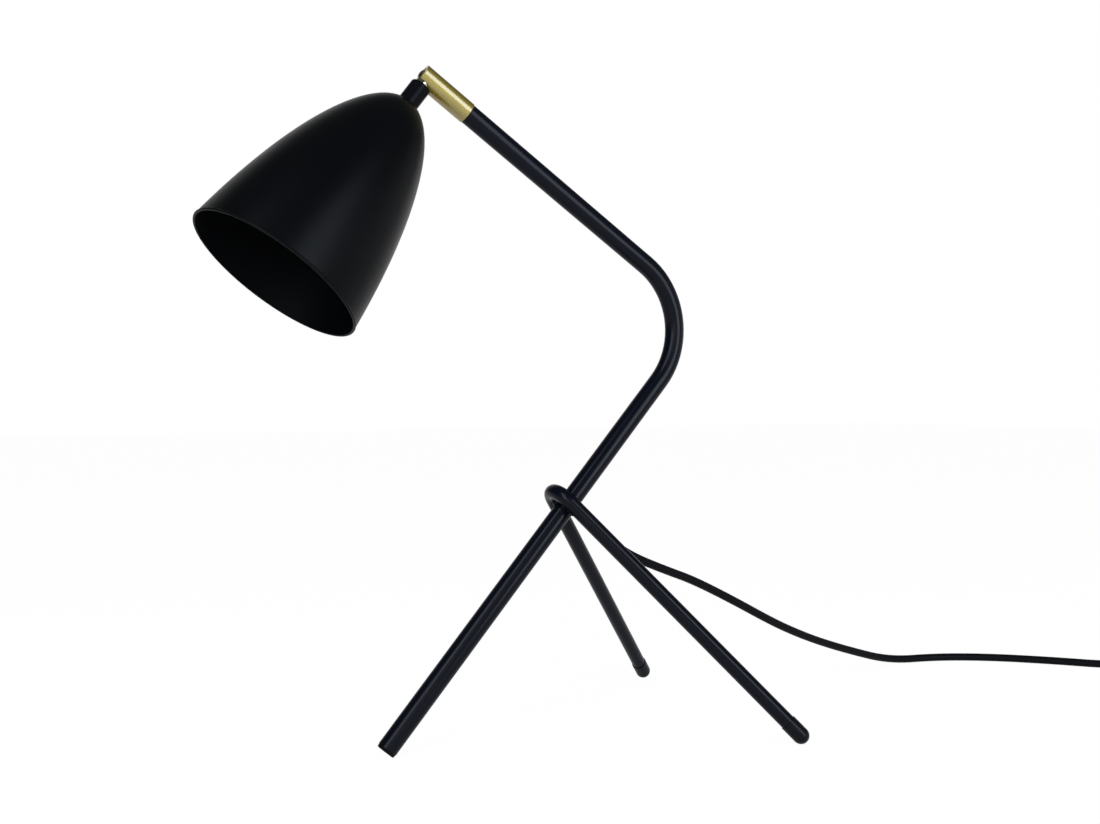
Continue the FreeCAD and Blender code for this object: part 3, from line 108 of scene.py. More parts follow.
def add_node(
    tree: bpy.types.NodeTree,
    kind: str,
    settings: dict[str, Any] | None = None,
    inputs: dict[str | int, Any] | None = None,
) -> bpy.types.Node:
    """Adds one node with its settings, input values and links.

    Args:
        tree: The node tree that gets the node.
        kind: The node's Blender type name.
        settings: Properties of the node by name.
        inputs: Values or output sockets by input name or number.

    Returns:
        The new node.
    """
    node = tree.nodes.new(kind)
    for key, value in (settings or {}).items():
        setattr(node, key, value)
    for key, value in (inputs or {}).items():
        if isinstance(value, bpy.types.NodeSocket):
            tree.links.new(value, node.inputs[key])
        else:
            node.inputs[key].default_value = value
    return node


def new_material(name: str) -> tuple[bpy.types.Material, bpy.types.NodeTree]:
    """Adds a material with no nodes in it yet.

    Args:
        name: The material's name.

    Returns:
        The material and its node tree.
    """
    material = bpy.data.materials.new(name)
    material.use_nodes = True
    material.node_tree.nodes.clear()
    return material, material.node_tree


def seen_directly(tree: bpy.types.NodeTree, rays: bpy.types.Node) -> bpy.types.NodeSocket:
    """A mask that is 1 for what the camera sees, straight or through something clear.

    Args:
        tree: The node tree of the floor or the world.
        rays: Its Light Path node.

    Returns:
        The mask's output.
    """
    mask = add_node(
        tree,
        "ShaderNodeMath",
        {"operation": "MAXIMUM"},
        {0: rays.outputs["Is Camera Ray"], 1: rays.outputs["Is Transmission Ray"]},
    )
    return mask.outputs[0]


@dataclass(frozen=True)
class Ramp:
    """A straight change of one value over another, level before and after it.

    Attributes:
        over: Where the change starts and ends.
        gives: The values there.
    """

    over: Span
    gives: Span = (0.0, 1.0)

    def inputs(self, value: bpy.types.NodeSocket) -> dict[str | int, Any]:
        """What a Map Range node takes to make this change.

        Args:
            value: The output that the change runs over.

        Returns:
            The node's input values and links by name.
        """
        return {
            "Value": value,
            "From Min": self.over[0],
            "From Max": self.over[1],
            "To Min": self.gives[0],
            "To Max": self.gives[1],
        }


@dataclass(frozen=True)
class SatinSurface:
    """A paint, rubber or plastic: one colour that drifts a little over a fine bump.

    Attributes:
        name: The material's name, after the real material and its finish.
        colour: The main sRGB colour.
        drift: A second sRGB colour that slow variation mixes in.
        roughness: Lowest and highest roughness over the surface.
        grain_mm: Size of the surface's fine bumps.
        bump: Strength of the bumps, 0 to 1.
        specular: How strongly it mirrors, where 0.5 is a bare polished surface.
        patch_mm: Size of the slow variation.
        slope: Height of the bumps as a share of their size.
    """

    name: str
    colour: str
    drift: str
    roughness: Span
    grain_mm: float
    bump: float
    specular: float = 0.05
    patch_mm: float = 40.0
    slope: float = 0.2

    def finished_roughness(
        self, tree: bpy.types.NodeTree, drifting: bpy.types.NodeSocket
    ) -> bpy.types.NodeSocket:
        """The roughness that the shader gets: here the drifting one, on every side."""
        return drifting

    def build(self) -> bpy.types.Material:
        """Makes the material.

        Returns:
            The finished Blender material.
        """
        material, tree = new_material(self.name)
        place = add_node(tree, "ShaderNodeTexCoord").outputs["Object"]
        patches = add_node(
            tree,
            "ShaderNodeTexNoise",
            inputs={"Vector": place, "Scale": per_metre(self.patch_mm), "Detail": RAGGED},
        )
        grain = add_node(
            tree,
            "ShaderNodeTexNoise",
            inputs={"Vector": place, "Scale": per_metre(self.grain_mm), "Detail": EVEN},
        )
        colour = add_node(
            tree,
            "ShaderNodeMix",
            {"data_type": "RGBA"},
            {
                FACTOR: patches.outputs["Fac"],
                COLOUR_A: linear(self.colour),
                COLOUR_B: linear(self.drift),
            },
        )
        drifting = add_node(
            tree,
            "ShaderNodeMapRange",
            inputs=Ramp(MOST_NOISE, self.roughness).inputs(patches.outputs["Fac"]),
        )
        bump = add_node(
            tree,
            "ShaderNodeBump",
            inputs={
                "Height": grain.outputs["Fac"],
                "Strength": self.bump,
                "Distance": self.grain_mm * MM * self.slope,
            },
        )
        shader = add_node(
            tree,
            "ShaderNodeBsdfPrincipled",
            inputs={
                "Base Color": colour.outputs[MIXED_COLOUR],
                "Roughness": self.finished_roughness(tree, drifting.outputs["Result"]),
                "IOR": POLYMER_IOR,
                "Specular IOR Level": self.specular,
                "Normal": bump.outputs["Normal"],
            },
        )
        add_node(tree, "ShaderNodeOutputMaterial", inputs={"Surface": shader.outputs[0]})
        return material


@dataclass(frozen=True, kw_only=True)
class ShadeEnamel(SatinSurface):
    """A shade's stove enamel: a smooth satin outside and a drier, rougher coat inside.

    Attributes:
        centre: A point on the shade's axis, in metres.
        axis: The axis's direction.
        dry_roughness: The roughness inside.
    """

    centre: Point
    axis: Point
    dry_roughness: float

    def inside(self, tree: bpy.types.NodeTree) -> bpy.types.NodeSocket:
        """A mask that is 1 where the surface faces the shade's axis.

        Args:
            tree: The material's node tree.

        Returns:
            The mask's output.
        """
        surface = add_node(tree, "ShaderNodeNewGeometry")
        place = add_node(tree, "ShaderNodeTexCoord").outputs["Object"]
        offset = add_node(
            tree, "ShaderNodeVectorMath", {"operation": "SUBTRACT"}, {0: place, 1: self.centre}
        )
        along = add_node(
            tree,
            "ShaderNodeVectorMath",
            {"operation": "PROJECT"},
            {0: offset.outputs[0], 1: self.axis},
        )
        radial = add_node(
            tree,
            "ShaderNodeVectorMath",
            {"operation": "SUBTRACT"},
            {0: offset.outputs[0], 1: along.outputs[0]},
        )
        facing = add_node(
            tree,
            "ShaderNodeVectorMath",
            {"operation": "DOT_PRODUCT"},
            {0: surface.outputs["True Normal"], 1: radial.outputs[0]},
        )
        mask = add_node(
            tree, "ShaderNodeMath", {"operation": "LESS_THAN"}, {0: facing.outputs["Value"], 1: 0.0}
        )
        return mask.outputs[0]

    def finished_roughness(
        self, tree: bpy.types.NodeTree, drifting: bpy.types.NodeSocket
    ) -> bpy.types.NodeSocket:
        """The drifting roughness outside and the dry one inside.

        Args:
            tree: The material's node tree.
            drifting: The roughness of the outside.

        Returns:
            The roughness of both sides.
        """
        sides = add_node(
            tree,
            "ShaderNodeMix",
            {"data_type": "FLOAT"},
            {FACTOR: self.inside(tree), FLOAT_A: drifting, FLOAT_B: self.dry_roughness},
        )
        return sides.outputs[MIXED_FLOAT]


@dataclass(frozen=True)
class TurnedMetal:
    """A metal turned on a lathe: fine rings round an axis under a clean polish.

    Attributes:
        name: The material's name, after the metal and its finish.
        colour: The metal's sRGB colour.
        shade: A deeper sRGB colour for slow tarnish.
        roughness: Lowest and highest roughness.
        ring_mm: Distance between the tool's rings, drawn coarse enough to show.
        bump: Strength of the rings, 0 to 1.
        start: The point from which the rings are counted along the axis, in metres.
        axis: The direction of the lathe's axis.
        lacquer: Weight of a clear lacquer over the metal.
        lacquer_roughness: The lacquer's own roughness.
        lacquer_ior: Its refractive index, above the usual 1.5 for a stronger pale highlight.
        tarnish_mm: Size of the tarnish's blots.
        slope: Height of the rings as a share of their distance.
    """

    name: str
    colour: str
    shade: str
    roughness: Span
    ring_mm: float
    bump: float
    start: Point
    axis: Point
    lacquer: float = 0.0
    lacquer_roughness: float = 0.14
    lacquer_ior: float = 1.8
    tarnish_mm: float = 9.0
    slope: float = 0.1

    def build(self) -> bpy.types.Material:
        """Makes the material.

        Returns:
            The finished Blender material.
        """
        material, tree = new_material(self.name)
        place = add_node(tree, "ShaderNodeTexCoord").outputs["Object"]
        offset = add_node(
            tree, "ShaderNodeVectorMath", {"operation": "SUBTRACT"}, {0: place, 1: self.start}
        )
        along = add_node(
            tree,
            "ShaderNodeVectorMath",
            {"operation": "DOT_PRODUCT"},
            {0: offset.outputs[0], 1: self.axis},
        )
        rings = add_node(
            tree,
            "ShaderNodeTexNoise",
            {"noise_dimensions": "1D"},
            {"W": along.outputs["Value"], "Scale": per_metre(self.ring_mm), "Detail": RAGGED},
        )
        tarnish = add_node(
            tree,
            "ShaderNodeTexNoise",
            inputs={"Vector": place, "Scale": per_metre(self.tarnish_mm), "Detail": SOFT},
        )
        colour = add_node(
            tree,
            "ShaderNodeMix",
            {"data_type": "RGBA"},
            {
                FACTOR: tarnish.outputs["Fac"],
                COLOUR_A: linear(self.colour),
                COLOUR_B: linear(self.shade),
            },
        )
        rough = add_node(
            tree,
            "ShaderNodeMapRange",
            inputs=Ramp(WHOLE_NOISE, self.roughness).inputs(rings.outputs["Fac"]),
        )
        bump = add_node(
            tree,
            "ShaderNodeBump",
            inputs={
                "Height": rings.outputs["Fac"],
                "Strength": self.bump,
                "Distance": self.ring_mm * MM * self.slope,
            },
        )
        shader = add_node(
            tree,
            "ShaderNodeBsdfPrincipled",
            inputs={
                "Base Color": colour.outputs[MIXED_COLOUR],
                "Metallic": 1.0,
                "Roughness": rough.outputs["Result"],
                "Coat Weight": self.lacquer,
                "Coat Roughness": self.lacquer_roughness,
                "Coat IOR": self.lacquer_ior,
                "Normal": bump.outputs["Normal"],
            },
        )
        add_node(tree, "ShaderNodeOutputMaterial", inputs={"Surface": shader.outputs[0]})
        return material


@dataclass
class LampGeometry:
    """Places that several classes share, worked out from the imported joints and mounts.

    Attributes:
        pivot: The middle of the ball, where the arm's axis meets the head's.
        arm_axis: The axis on which the barrel turns.
        head_axis: The axis of the stem, the shade and the lampholder.
    """

    pivot: Point = field(init=False)
    arm_axis: Point = field(init=False)
    head_axis: Point = field(init=False)

    def __post_init__(self) -> None:
        """Reads the joints and the lamp socket's mount."""
        record = frame["record"]
        joints = {joint["name"]: joint for joint in record["behaviour"]["joints"]}
        mounts = {mount["name"]: mount for mount in record["mounts"]}
        self.pivot = tuple(joints["head_tilt"]["pos_m"])
        self.arm_axis = tuple(Vector(joints["head_swivel"]["axis"]).normalized())
        self.head_axis = tuple(Vector(mounts["lamp_socket"]["axis"]).normalized())


class Dresser:
    """Gives CAD nodes their material."""

    def dress(self, material: bpy.types.Material, *nodes: str) -> None:
        """Puts one material on CAD nodes.

        Args:
            material: The finish.
            *nodes: Names of the nodes that take it.
        """
        for name in nodes:
            obj = bpy.data.objects[name]
            obj.data.materials.clear()
            obj.data.materials.append(material)
            LOG.info("dressed %s in %s", name, material.name)


@dataclass
class Stand(Dresser):
    """The bent tube, the leg rod, their feet, the cord's outlet and the lamp's thin leads."""

    def build(self) -> None:
        """Dresses every piece of the stand, and the leads in the head."""
        # Sprayed powder, baked on steel: it flows out smooth, with a faint satin ripple about
        # 0.7 mm across, and mirrors lamps as soft streaks along the tubes.
        paint = SatinSurface(
            "powder_coated_steel_satin_black",
            "#070911",
            "#090b14",
            roughness=(0.18, 0.23),
            grain_mm=0.7,
            bump=0.04,
            specular=0.105,
        ).build()
        self.dress(paint, "main_tube", "leg_rod", "weld_beads")
        # Pressed in a blasted mould: an even, dull black with almost no highlight.
        rubber = SatinSurface(
            "moulded_rubber_black",
            "#07080b",
            "#0b0c10",
            roughness=(0.5, 0.6),
            grain_mm=0.5,
            bump=0.15,
        ).build()
        self.dress(rubber, "main_foot_plug", "cord_grommet")
        # Hot steel dipped in vinyl: the cap is smooth and nearly as glossy as the paint.
        caps = SatinSurface(
            "dipped_vinyl_black",
            "#090a0f",
            "#0b0c11",
            roughness=(0.26, 0.32),
            grain_mm=0.9,
            bump=0.05,
            specular=0.1,
        ).build()
        self.dress(caps, "leg_cap_near", "leg_cap_far")
        # Extruded in one pass: smooth, with a soft shine and one even brown.
        cores = SatinSurface(
            "pvc_core_brown",
            "#6a4a2c",
            "#5c4026",
            roughness=(0.35, 0.45),
            grain_mm=0.8,
            bump=0.1,
        ).build()
        self.dress(cores, "tube_leads", "head_leads")


@dataclass
class Swivel(Dresser):
    """The brass barrel, what turns in it, and the lamp's plated hardware.

    Attributes:
        geometry: The lamp's shared places.
    """

    geometry: LampGeometry

    def build(self) -> None:
        """Dresses every piece of the swivel, and the plated hardware of the rest."""
        # Turned, brushed and lacquered: deep yellow metal under a clear film, so that the lamps'
        # highlights are pale cream. The tool's rings are under 0.1 mm and are drawn 2.5 mm apart.
        brass = TurnedMetal(
            "turned_brass_lacquered",
            "#9c8935",
            "#92802c",
            roughness=(0.54, 0.6),
            ring_mm=2.5,
            bump=0.02,
            start=self.geometry.pivot,
            axis=self.geometry.arm_axis,
            lacquer=1.0,
        ).build()
        self.dress(brass, "swivel_barrel", "swivel_nut")
        # Polished on the wheel: a bright, near-white brass with sharp reflections. Its rings are
        # too fine to see and are drawn 0.4 mm apart.
        ball = TurnedMetal(
            "turned_brass_polished",
            "#c9c3a8",
            "#bdb594",
            roughness=(0.14, 0.2),
            ring_mm=0.4,
            bump=0.08,
            start=self.geometry.pivot,
            axis=self.geometry.head_axis,
        ).build()
        self.dress(ball, "swivel_ball")
        # Barrel-plated: a cool grey with dull tool marks showing through the thin zinc. They are
        # drawn 0.6 mm apart.
        zinc = TurnedMetal(
            "zinc_plated_steel",
            "#b9bbc0",
            "#a4a7ad",
            roughness=(0.25, 0.38),
            ring_mm=0.6,
            bump=0.15,
            start=self.geometry.pivot,
            axis=self.geometry.arm_axis,
        ).build()
        self.dress(
            zinc,
            "arm_bush",
            "swivel_nipple",
            "swivel_washer",
            "pressure_spring",
            "stem_nipple",
            "shade_washer",
            "shade_nut",
            "terminal_screws",
            "cap_lock_screw",
            "switch_screws",
        )
        # Injection-moulded and undyed: milky off-white with a waxy, even shine.
        nylon = SatinSurface(
            "nylon_natural",
            "#dcd8cc",
            "#d2cdbf",
            roughness=(0.45, 0.55),
            grain_mm=1.0,
            bump=0.05,
        ).build()
        self.dress(nylon, "ball_cup")


@dataclass
class Head(Dresser):
    """The stem, the shade and the lampholder.

    Attributes:
        geometry: The lamp's shared places.
    """

    geometry: LampGeometry

    def build(self) -> None:
        """Dresses every piece of the head that isn't plated hardware or a lead."""
        # Sprayed on spun sheet and stoved: near-black with a fine orange peel about 0.9 mm
        # across and 0.2 mm high, and one broad soft highlight that runs from neck to rim. Inside,
        # the spray lands half dry, so the coat is duller there.
        enamel = ShadeEnamel(
            "enamelled_aluminium_satin_black",
            "#040505",
            "#05060a",
            roughness=(0.32, 0.38),
            grain_mm=0.9,
            bump=0.08,
            specular=0.06,
            patch_mm=45.0,
            slope=0.2 / 0.9,
            centre=self.geometry.pivot,
            axis=self.geometry.head_axis,
            dry_roughness=0.46,
        ).build()
        self.dress(enamel, "shade")
        # The same black, sprayed on turned steel: a little glossier, as the sleeve is smoother.
        stem = SatinSurface(
            "enamelled_steel_black",
            "#07080b",
            "#0a0b0f",
            roughness=(0.28, 0.36),
            grain_mm=0.8,
            bump=0.06,
        ).build()
        self.dress(stem, "stem_sleeve")
        # Compression-moulded phenolic: dense, dark and half matte, with a faint cloudiness.
        thermoset = SatinSurface(
            "phenolic_holder_black",
            "#141416",
            "#19191c",
            roughness=(0.35, 0.45),
            grain_mm=1.0,
            bump=0.05,
        ).build()
        self.dress(thermoset, "holder_cap", "holder_body", "holder_insert")
        # Drawn brass with a bright nickel plate: warm silver with fine rings from the die, which
        # are drawn 0.6 mm apart.
        nickel = TurnedMetal(
            "nickel_plated_brass",
            "#cfc6b4",
            "#c4baa6",
            roughness=(0.2, 0.3),
            ring_mm=0.6,
            bump=0.1,
            start=self.geometry.pivot,
            axis=self.geometry.head_axis,
        ).build()
        self.dress(nickel, "screw_shell", "centre_contact")


class Lay(Enum):
    LOOSE = "loose"
    COILED = "coiled"


@dataclass
class CordSet(Dresser):
    """The flexible cord with its switch, coil and plug.

    Attributes:
        diameter: The sheath's outer diameter.
        lie: Height of the cord's axis on the table.
        switch_height: Height at which the cord goes into the switch.
        plug_height: Height at which it goes into the plug.
        coil_centre: The coil's middle on the table.
        coil_low: Height of the lower layer's axis.
        pitch: Distance between turns, and between the two layers.
        turns: Number of turns in both layers together.
        middle: Diameter at the middle of the turns.
        start_angle: Where round the coil the cord comes in, in degrees.
        climb: Part of a turn in which the cord changes layers.
        steps: Control points in each turn.
        round_steps: How finely the sheath is rounded.
        line_steps: How finely the line is drawn between control points.
    """

    diameter: float = 6.4 * MM
    lie: float = 3.3 * MM
    switch_height: float = 5.3 * MM
    plug_height: float = 7.2 * MM
    coil_centre: tuple[float, float] = (0.6820, -0.1915)
    coil_low: float = 4.0 * MM
    pitch: float = 7.0 * MM
    turns: float = 4.0
    middle: float = 70.0 * MM
    start_angle: float = -94.0
    climb: float = 0.5
    steps: int = 16
    round_steps: int = 5
    line_steps: int = 8

    def switch_route(self) -> list[Point]:
        """The first length's route, down behind the lamp and over the table.

        Returns:
            Points from the outlet's boot to the switch.
        """
        lie = self.lie
        switch = self.switch_height
        return [
            (0.1531, 0.0, 0.1421),
            (0.1644, 0.0, 0.1323),
            (0.1845, 0.0022, 0.1194),
            (0.2166, 0.0060, 0.1064),
            (0.2439, 0.0090, 0.0963),
            (0.2846, 0.0140, 0.0768),
            (0.3243, 0.0190, 0.0565),
            (0.3481, 0.0220, 0.0456),
            (0.3784, 0.0270, 0.0334),
            (0.4191, 0.0330, 0.0196),
            (0.4736, 0.0400, lie),
            (0.5200, 0.0310, lie),
            (0.5620, 0.0080, lie),
            (0.6010, -0.0270, lie),
            (0.6300, -0.0590, lie),
            (0.6487, -0.0745, switch),
            (0.6611, -0.0845, switch),
        ]

    def coil_points(self) -> list[Point]:
        """Control points of the coil's two layers, from outside in and out again.

        Returns:
            Points a little outside the true line, because the spline runs inside them.
        """
        half = self.turns / 2
        inner = (self.middle - self.pitch * half) / 2
        swell = 1 / math.cos(math.pi / self.steps)
        points: list[Point] = []
        for number in range(round(self.turns * self.steps) + 1):
            beyond = number / self.steps - half
            radius = (inner + self.pitch * abs(beyond)) * swell
            angle = math.radians(self.start_angle) - math.tau * number / self.steps
            # Half a wave of the sine lifts the cord, level where it leaves and where it arrives.
            climbed = min(max(beyond / self.climb, -0.5), 0.5) * math.pi
            points.append(
                (
                    self.coil_centre[0] + radius * math.cos(angle),
                    self.coil_centre[1] + radius * math.sin(angle),
                    self.coil_low + self.pitch * (1 + math.sin(climbed)) / 2,
                )
            )
        return points

    def spare_route(self) -> list[Point]:
        """The second length's route, round both layers of the coil.

        Returns:
            Points from the switch to the plug.
        """
        lie = self.lie
        switch = self.switch_height
        plug = self.plug_height
        low = self.coil_low
        high = self.coil_low + self.pitch
        lead_in: list[Point] = [
            (0.7389, -0.1475, switch),
            (0.7560, -0.1613, switch),
            (0.7655, -0.1870, lie),
            (0.7590, -0.2140, lie),
            (0.7380, -0.2325, lie),
            (0.7110, -0.2365, low),
            (0.6861, -0.2341, low),
        ]
        lead_out: list[Point] = [
            (0.6720, -0.2331, high),
            (0.6531, -0.2323, high),
            (0.6200, -0.2310, lie),
            (0.5920, -0.2330, lie),
            (0.5668, -0.2349, plug),
            (0.5450, -0.2380, plug),
        ]
        return lead_in + self.coil_points() + lead_out

    def curve(self, name: str, points: Sequence[Point]) -> bpy.types.Object:
        """A round tube on a smooth spline.

        Args:
            name: The piece's name.
            points: The spline's control points.

        Returns:
            The curve object.
        """
        data = bpy.data.curves.new(name, "CURVE")
        data.dimensions = "3D"
        data.bevel_depth = self.diameter / 2
        data.bevel_resolution = self.round_steps
        data.resolution_u = self.line_steps
        data.use_fill_caps = True
        spline = data.splines.new("NURBS")
        spline.points.add(len(points) - 1)
        for point, place in zip(spline.points, points):
            point.co = (*place, 1.0)
        spline.order_u = 3
        spline.use_endpoint_u = True
        piece = bpy.data.objects.new(name, data)
        bpy.context.scene.collection.objects.link(piece)
        return piece

    def lay_cord(self) -> None:
        """Makes both lengths of cord and says how they lie."""
        # Extruded through a round die: smooth and half matte, with a very fine pebble that is
        # drawn 0.8 mm across.
        sheath = SatinSurface(
            "pvc_cord_sheath_black",
            "#0a0a0d",
            "#0e0e12",
            roughness=(0.42, 0.52),
            grain_mm=0.8,
            bump=0.12,
        ).build()
        near = self.curve("cord_near", self.switch_route())
        spare = self.curve("cord_spare", self.spare_route())
        for piece in (near, spare):
            piece.data.materials.append(sheath)
            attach(piece, "stand")
        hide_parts("cord_to_switch")
        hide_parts("cord_to_coil", "coil", "cord_to_plug")
        LOG.info("laid %s and %s", near.name, spare.name)

    def dress_fittings(self) -> None:
        """Dresses the switch, the tie and the plug."""
        # Injection-moulded with a spark-eroded grain: a fine even texture that dulls the shine.
        # It is drawn 0.7 mm across.
        plastic = SatinSurface(
            "moulded_abs_black",
            "#121318",
            "#17181d",
            roughness=(0.36, 0.46),
            grain_mm=0.7,
            bump=0.12,
        ).build()
        self.dress(plastic, "switch_base", "switch_cover", "switch_rocker")
        # Soft PVC moulded over the cord: duller than the case, and slightly greyer.
        rubber = SatinSurface(
            "moulded_pvc_black",
            "#101115",
            "#15161b",
            roughness=(0.45, 0.55),
            grain_mm=0.8,
            bump=0.12,
        ).build()
        self.dress(rubber, "plug_body", "coil_tie", "switch_boots")
        # Solid pins, barrel-polished and plated: bright, with a soft even shine.
        nickel = TurnedMetal(
            "nickel_plated_pin",
            "#cfcac0",
            "#c2bcb0",
            roughness=(0.2, 0.3),
            ring_mm=0.8,
            bump=0.05,
            start=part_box("plug_pins")[0],
            axis=(1, 0, 0),
        ).build()
        self.dress(nickel, "plug_pins")

    def build(self) -> None:
        """Makes the cord and dresses what it carries."""
        self.lay_cord()
        self.dress_fittings()


@dataclass
class TableTop:
    """A white floor that keeps the lamp's soft shadow.

    Attributes:
        reach: Half the length of its sides.
        grey: Share of light that its matte white gives back.
        glow: Strength of the plain white that is mixed in.
        seen_share: Share of plain white for the camera. The rest shows the shadow.
        mirrored_share: Share of plain white in what the lamp mirrors.
    """

    reach: float = 6.0
    grey: float = 0.8
    glow: float = 1.02
    seen_share: float = 0.94
    mirrored_share: float = 0.5

    def material(self) -> bpy.types.Material:
        """Makes the floor's white.

        Returns:
            Matte white paint, with plain white for the rays that see or mirror it.
        """
        material, tree = new_material("studio_white")
        rays = add_node(tree, "ShaderNodeLightPath")
        seen = add_node(
            tree,
            "ShaderNodeMath",
            {"operation": "MULTIPLY"},
            {0: seen_directly(tree, rays), 1: self.seen_share},
        )
        mirrored = add_node(
            tree,
            "ShaderNodeMath",
            {"operation": "MULTIPLY"},
            {0: rays.outputs["Is Glossy Ray"], 1: self.mirrored_share},
        )
        share = add_node(
            tree,
            "ShaderNodeMath",
            {"operation": "MAXIMUM"},
            {0: seen.outputs[0], 1: mirrored.outputs[0]},
        )
        matte = add_node(
            tree,
            "ShaderNodeBsdfDiffuse",
            inputs={"Color": (self.grey, self.grey, self.grey, 1.0)},
        )
        glow = add_node(
            tree, "ShaderNodeEmission", inputs={"Color": WHITE, "Strength": self.glow}
        )
        surface = add_node(
            tree,
            "ShaderNodeMixShader",
            inputs={0: share.outputs[0], 1: matte.outputs[0], 2: glow.outputs[0]},
        )
        add_node(tree, "ShaderNodeOutputMaterial", inputs={"Surface": surface.outputs[0]})
        return material

    def build(self) -> None:
        """Lays one square face at the table's height."""
        far = self.reach
        corners = [(-far, -far, 0), (far, -far, 0), (far, far, 0), (-far, far, 0)]
        mesh = bpy.data.meshes.new("table_top")
        mesh.from_pydata(corners, [], [(0, 1, 2, 3)])
        mesh.materials.append(self.material())
        floor = bpy.data.objects.new("table_top", mesh)
        bpy.context.scene.collection.objects.link(floor)


@dataclass
class Surround:
    """A white world that lights the lamp evenly and shows in it as a studio.

    What the lamp mirrors of it is dim overhead and at the back left, and white at the backdrop
    behind the lamp.

    Attributes:
        seen: Strength for the camera.
        ambient: Strength that lights matte surfaces.
        overhead: Mirrored strength over a direction's height.
        backdrop: Mirrored strength over a direction's reach towards +Y. The greater counts.
        dim_way: The direction of the back left.
        dimming: What the mirrored strength is multiplied by, over nearness to that direction.
    """

    seen: float = 1.0
    ambient: float = 0.55
    overhead: Ramp = Ramp(over=(0.05, 0.42), gives=(1.0, 0.12))
    backdrop: Ramp = Ramp(over=(0.55, 0.85))
    dim_way: Point = (-0.8, 0.55, 0.2)
    dimming: Ramp = Ramp(over=(0.5, 0.9), gives=(1.0, 0.2))

    def mirrored(self, tree: bpy.types.NodeTree) -> bpy.types.NodeSocket:
        """The strength that the lamp mirrors in each direction.

        Args:
            tree: The world's node tree.

        Returns:
            The strength's output.
        """
        way = add_node(tree, "ShaderNodeTexCoord").outputs["Generated"]
        parts = add_node(tree, "ShaderNodeSeparateXYZ", inputs={0: way})
        overhead = add_node(
            tree, "ShaderNodeMapRange", inputs=self.overhead.inputs(parts.outputs["Z"])
        )
        backdrop = add_node(
            tree, "ShaderNodeMapRange", inputs=self.backdrop.inputs(parts.outputs["Y"])
        )
        lit = add_node(
            tree,
            "ShaderNodeMath",
            {"operation": "MAXIMUM"},
            {0: overhead.outputs["Result"], 1: backdrop.outputs["Result"]},
        )
        nearness = add_node(
            tree, "ShaderNodeVectorMath", {"operation": "DOT_PRODUCT"}, {0: way, 1: self.dim_way}
        )
        dimming = add_node(
            tree, "ShaderNodeMapRange", inputs=self.dimming.inputs(nearness.outputs["Value"])
        )
        dimmed = add_node(
            tree,
            "ShaderNodeMath",
            {"operation": "MULTIPLY"},
            {0: lit.outputs[0], 1: dimming.outputs["Result"]},
        )
        return dimmed.outputs[0]

    def build(self) -> None:
        """Makes the world and its background."""
        world = bpy.data.worlds.new("studio")
        bpy.context.scene.world = world
        world.use_nodes = True
        tree = world.node_tree
        tree.nodes.clear()
        rays = add_node(tree, "ShaderNodeLightPath")
        unseen = add_node(
            tree,
            "ShaderNodeMix",
            {"data_type": "FLOAT"},
            {
                FACTOR: rays.outputs["Is Glossy Ray"],
                FLOAT_A: self.ambient,
                FLOAT_B: self.mirrored(tree),
            },
        )
        strength = add_node(
            tree,
            "ShaderNodeMix",
            {"data_type": "FLOAT"},
            {
                FACTOR: seen_directly(tree, rays),
                FLOAT_A: unseen.outputs[MIXED_FLOAT],
                FLOAT_B: self.seen,
            },
        )
        background = add_node(
            tree,
            "ShaderNodeBackground",
            inputs={"Color": WHITE, "Strength": strength.outputs[MIXED_FLOAT]},
        )
        add_node(tree, "ShaderNodeOutputWorld", inputs={"Surface": background.outputs[0]})


@dataclass(frozen=True)
class SoftBox:
    """A rectangular studio lamp.

    Attributes:
        name: The light's name.
        place: Where it hangs.
        aim: The point that it faces.
        size: Its width and height.
        watts: Its power.
        colour: Its linear colour.
    """

    name: str
    place: Point
    aim: Point
    size: Span
    watts: float
    colour: Point = WHITE[:3]

    def build(self) -> None:
        """Hangs the lamp and turns it to its aim."""
        data = bpy.data.lights.new(self.name, "AREA")
        data.shape = "RECTANGLE"
        data.size, data.size_y = self.size
        data.energy = self.watts
        data.color = self.colour
        lamp = bpy.data.objects.new(self.name, data)
        way = Vector(self.aim) - Vector(self.place)
        turn = way.to_track_quat("-Z", "Y").to_matrix().to_4x4()
        lamp.matrix_world = Matrix.Translation(self.place) @ turn
        bpy.context.scene.collection.objects.link(lamp)


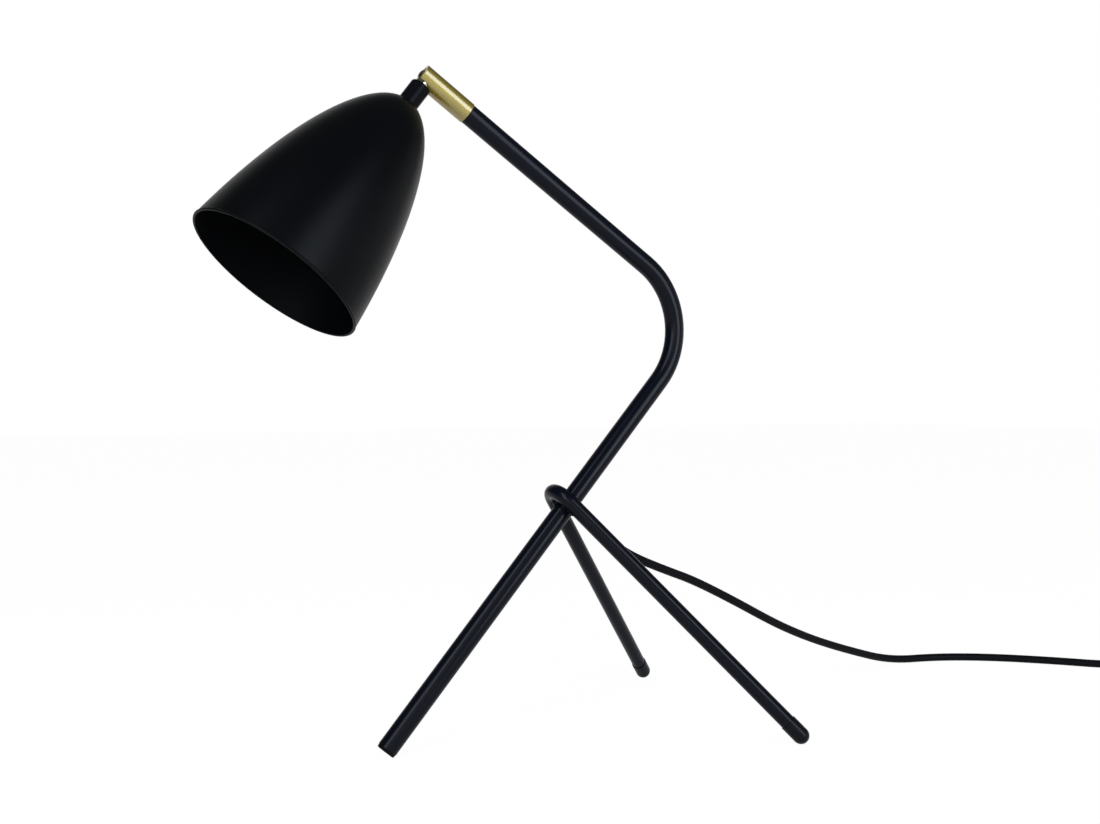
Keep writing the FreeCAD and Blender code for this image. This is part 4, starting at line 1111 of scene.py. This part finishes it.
@dataclass
class Viewpoint:
    """The photograph's point of view.

    Attributes:
        eye: The camera's place.
        heading: Its turn from +Y towards +X, in degrees.
        pitch: Its tilt downwards, in degrees.
        lens_mm: Focal length.
        sensor_mm: Width of the sensor.
        nearest: Distance from which things are drawn.
    """

    eye: Point = (-0.2485, -0.70716, 0.23997)
    heading: float = 27.3116
    pitch: float = 1.0425
    lens_mm: float = 37.163
    sensor_mm: float = 36.0
    nearest: float = 10.0 * MM

    def build(self) -> None:
        """Adds the camera and makes it the scene's own."""
        data = bpy.data.cameras.new("camera")
        data.sensor_width = self.sensor_mm
        data.sensor_fit = "HORIZONTAL"
        data.lens = self.lens_mm
        data.clip_start = self.nearest
        camera = bpy.data.objects.new("camera", data)
        camera.location = self.eye
        camera.rotation_euler = (math.radians(90.0 - self.pitch), 0.0, -math.radians(self.heading))
        bpy.context.scene.collection.objects.link(camera)
        bpy.context.scene.camera = camera


@dataclass
class Studio:
    """Floor, surround, lamps and camera.

    Attributes:
        daylight: Linear colour of the cooler lamps.
    """

    daylight: Point = (0.8, 0.89, 1.0)

    def lamps(self) -> tuple[SoftBox, ...]:
        """A strong lamp on each side and a weak one in front.

        Returns:
            The lamps, still to be built.
        """
        return (
            SoftBox(
                "key_right",
                place=(0.62, -1.3, 0.6),
                aim=(0.05, 0.0, 0.35),
                size=(0.6, 1.3),
                watts=14.0,
                colour=self.daylight,
            ),
            SoftBox(
                "front_soft",
                place=(-0.75, -1.35, 0.7),
                aim=(0.0, 0.0, 0.25),
                size=(1.0, 1.0),
                watts=3.0,
            ),
            SoftBox(
                "strip_left",
                place=(-1.0, -0.75, 0.95),
                aim=(0.05, 0.0, 0.1),
                size=(0.6, 1.3),
                watts=12.0,
                colour=self.daylight,
            ),
        )

    def build(self) -> None:
        """Sets the whole stage."""
        for part in (TableTop(), Surround(), *self.lamps(), Viewpoint()):
            part.build()
        bpy.context.scene.view_settings.view_transform = "Standard"


def main() -> None:
    """Builds the assemblies in order and sets the stage."""
    logging.basicConfig(level=logging.INFO, format="%(name)s: %(message)s")
    geometry = LampGeometry()
    for assembly in (Stand(), Swivel(geometry), Head(geometry), CordSet(), Studio()):
        assembly.build()
        LOG.info("built %s", type(assembly).__name__)


if __name__ == "__main__":
    main()
    bpy.context.view_layer.update()
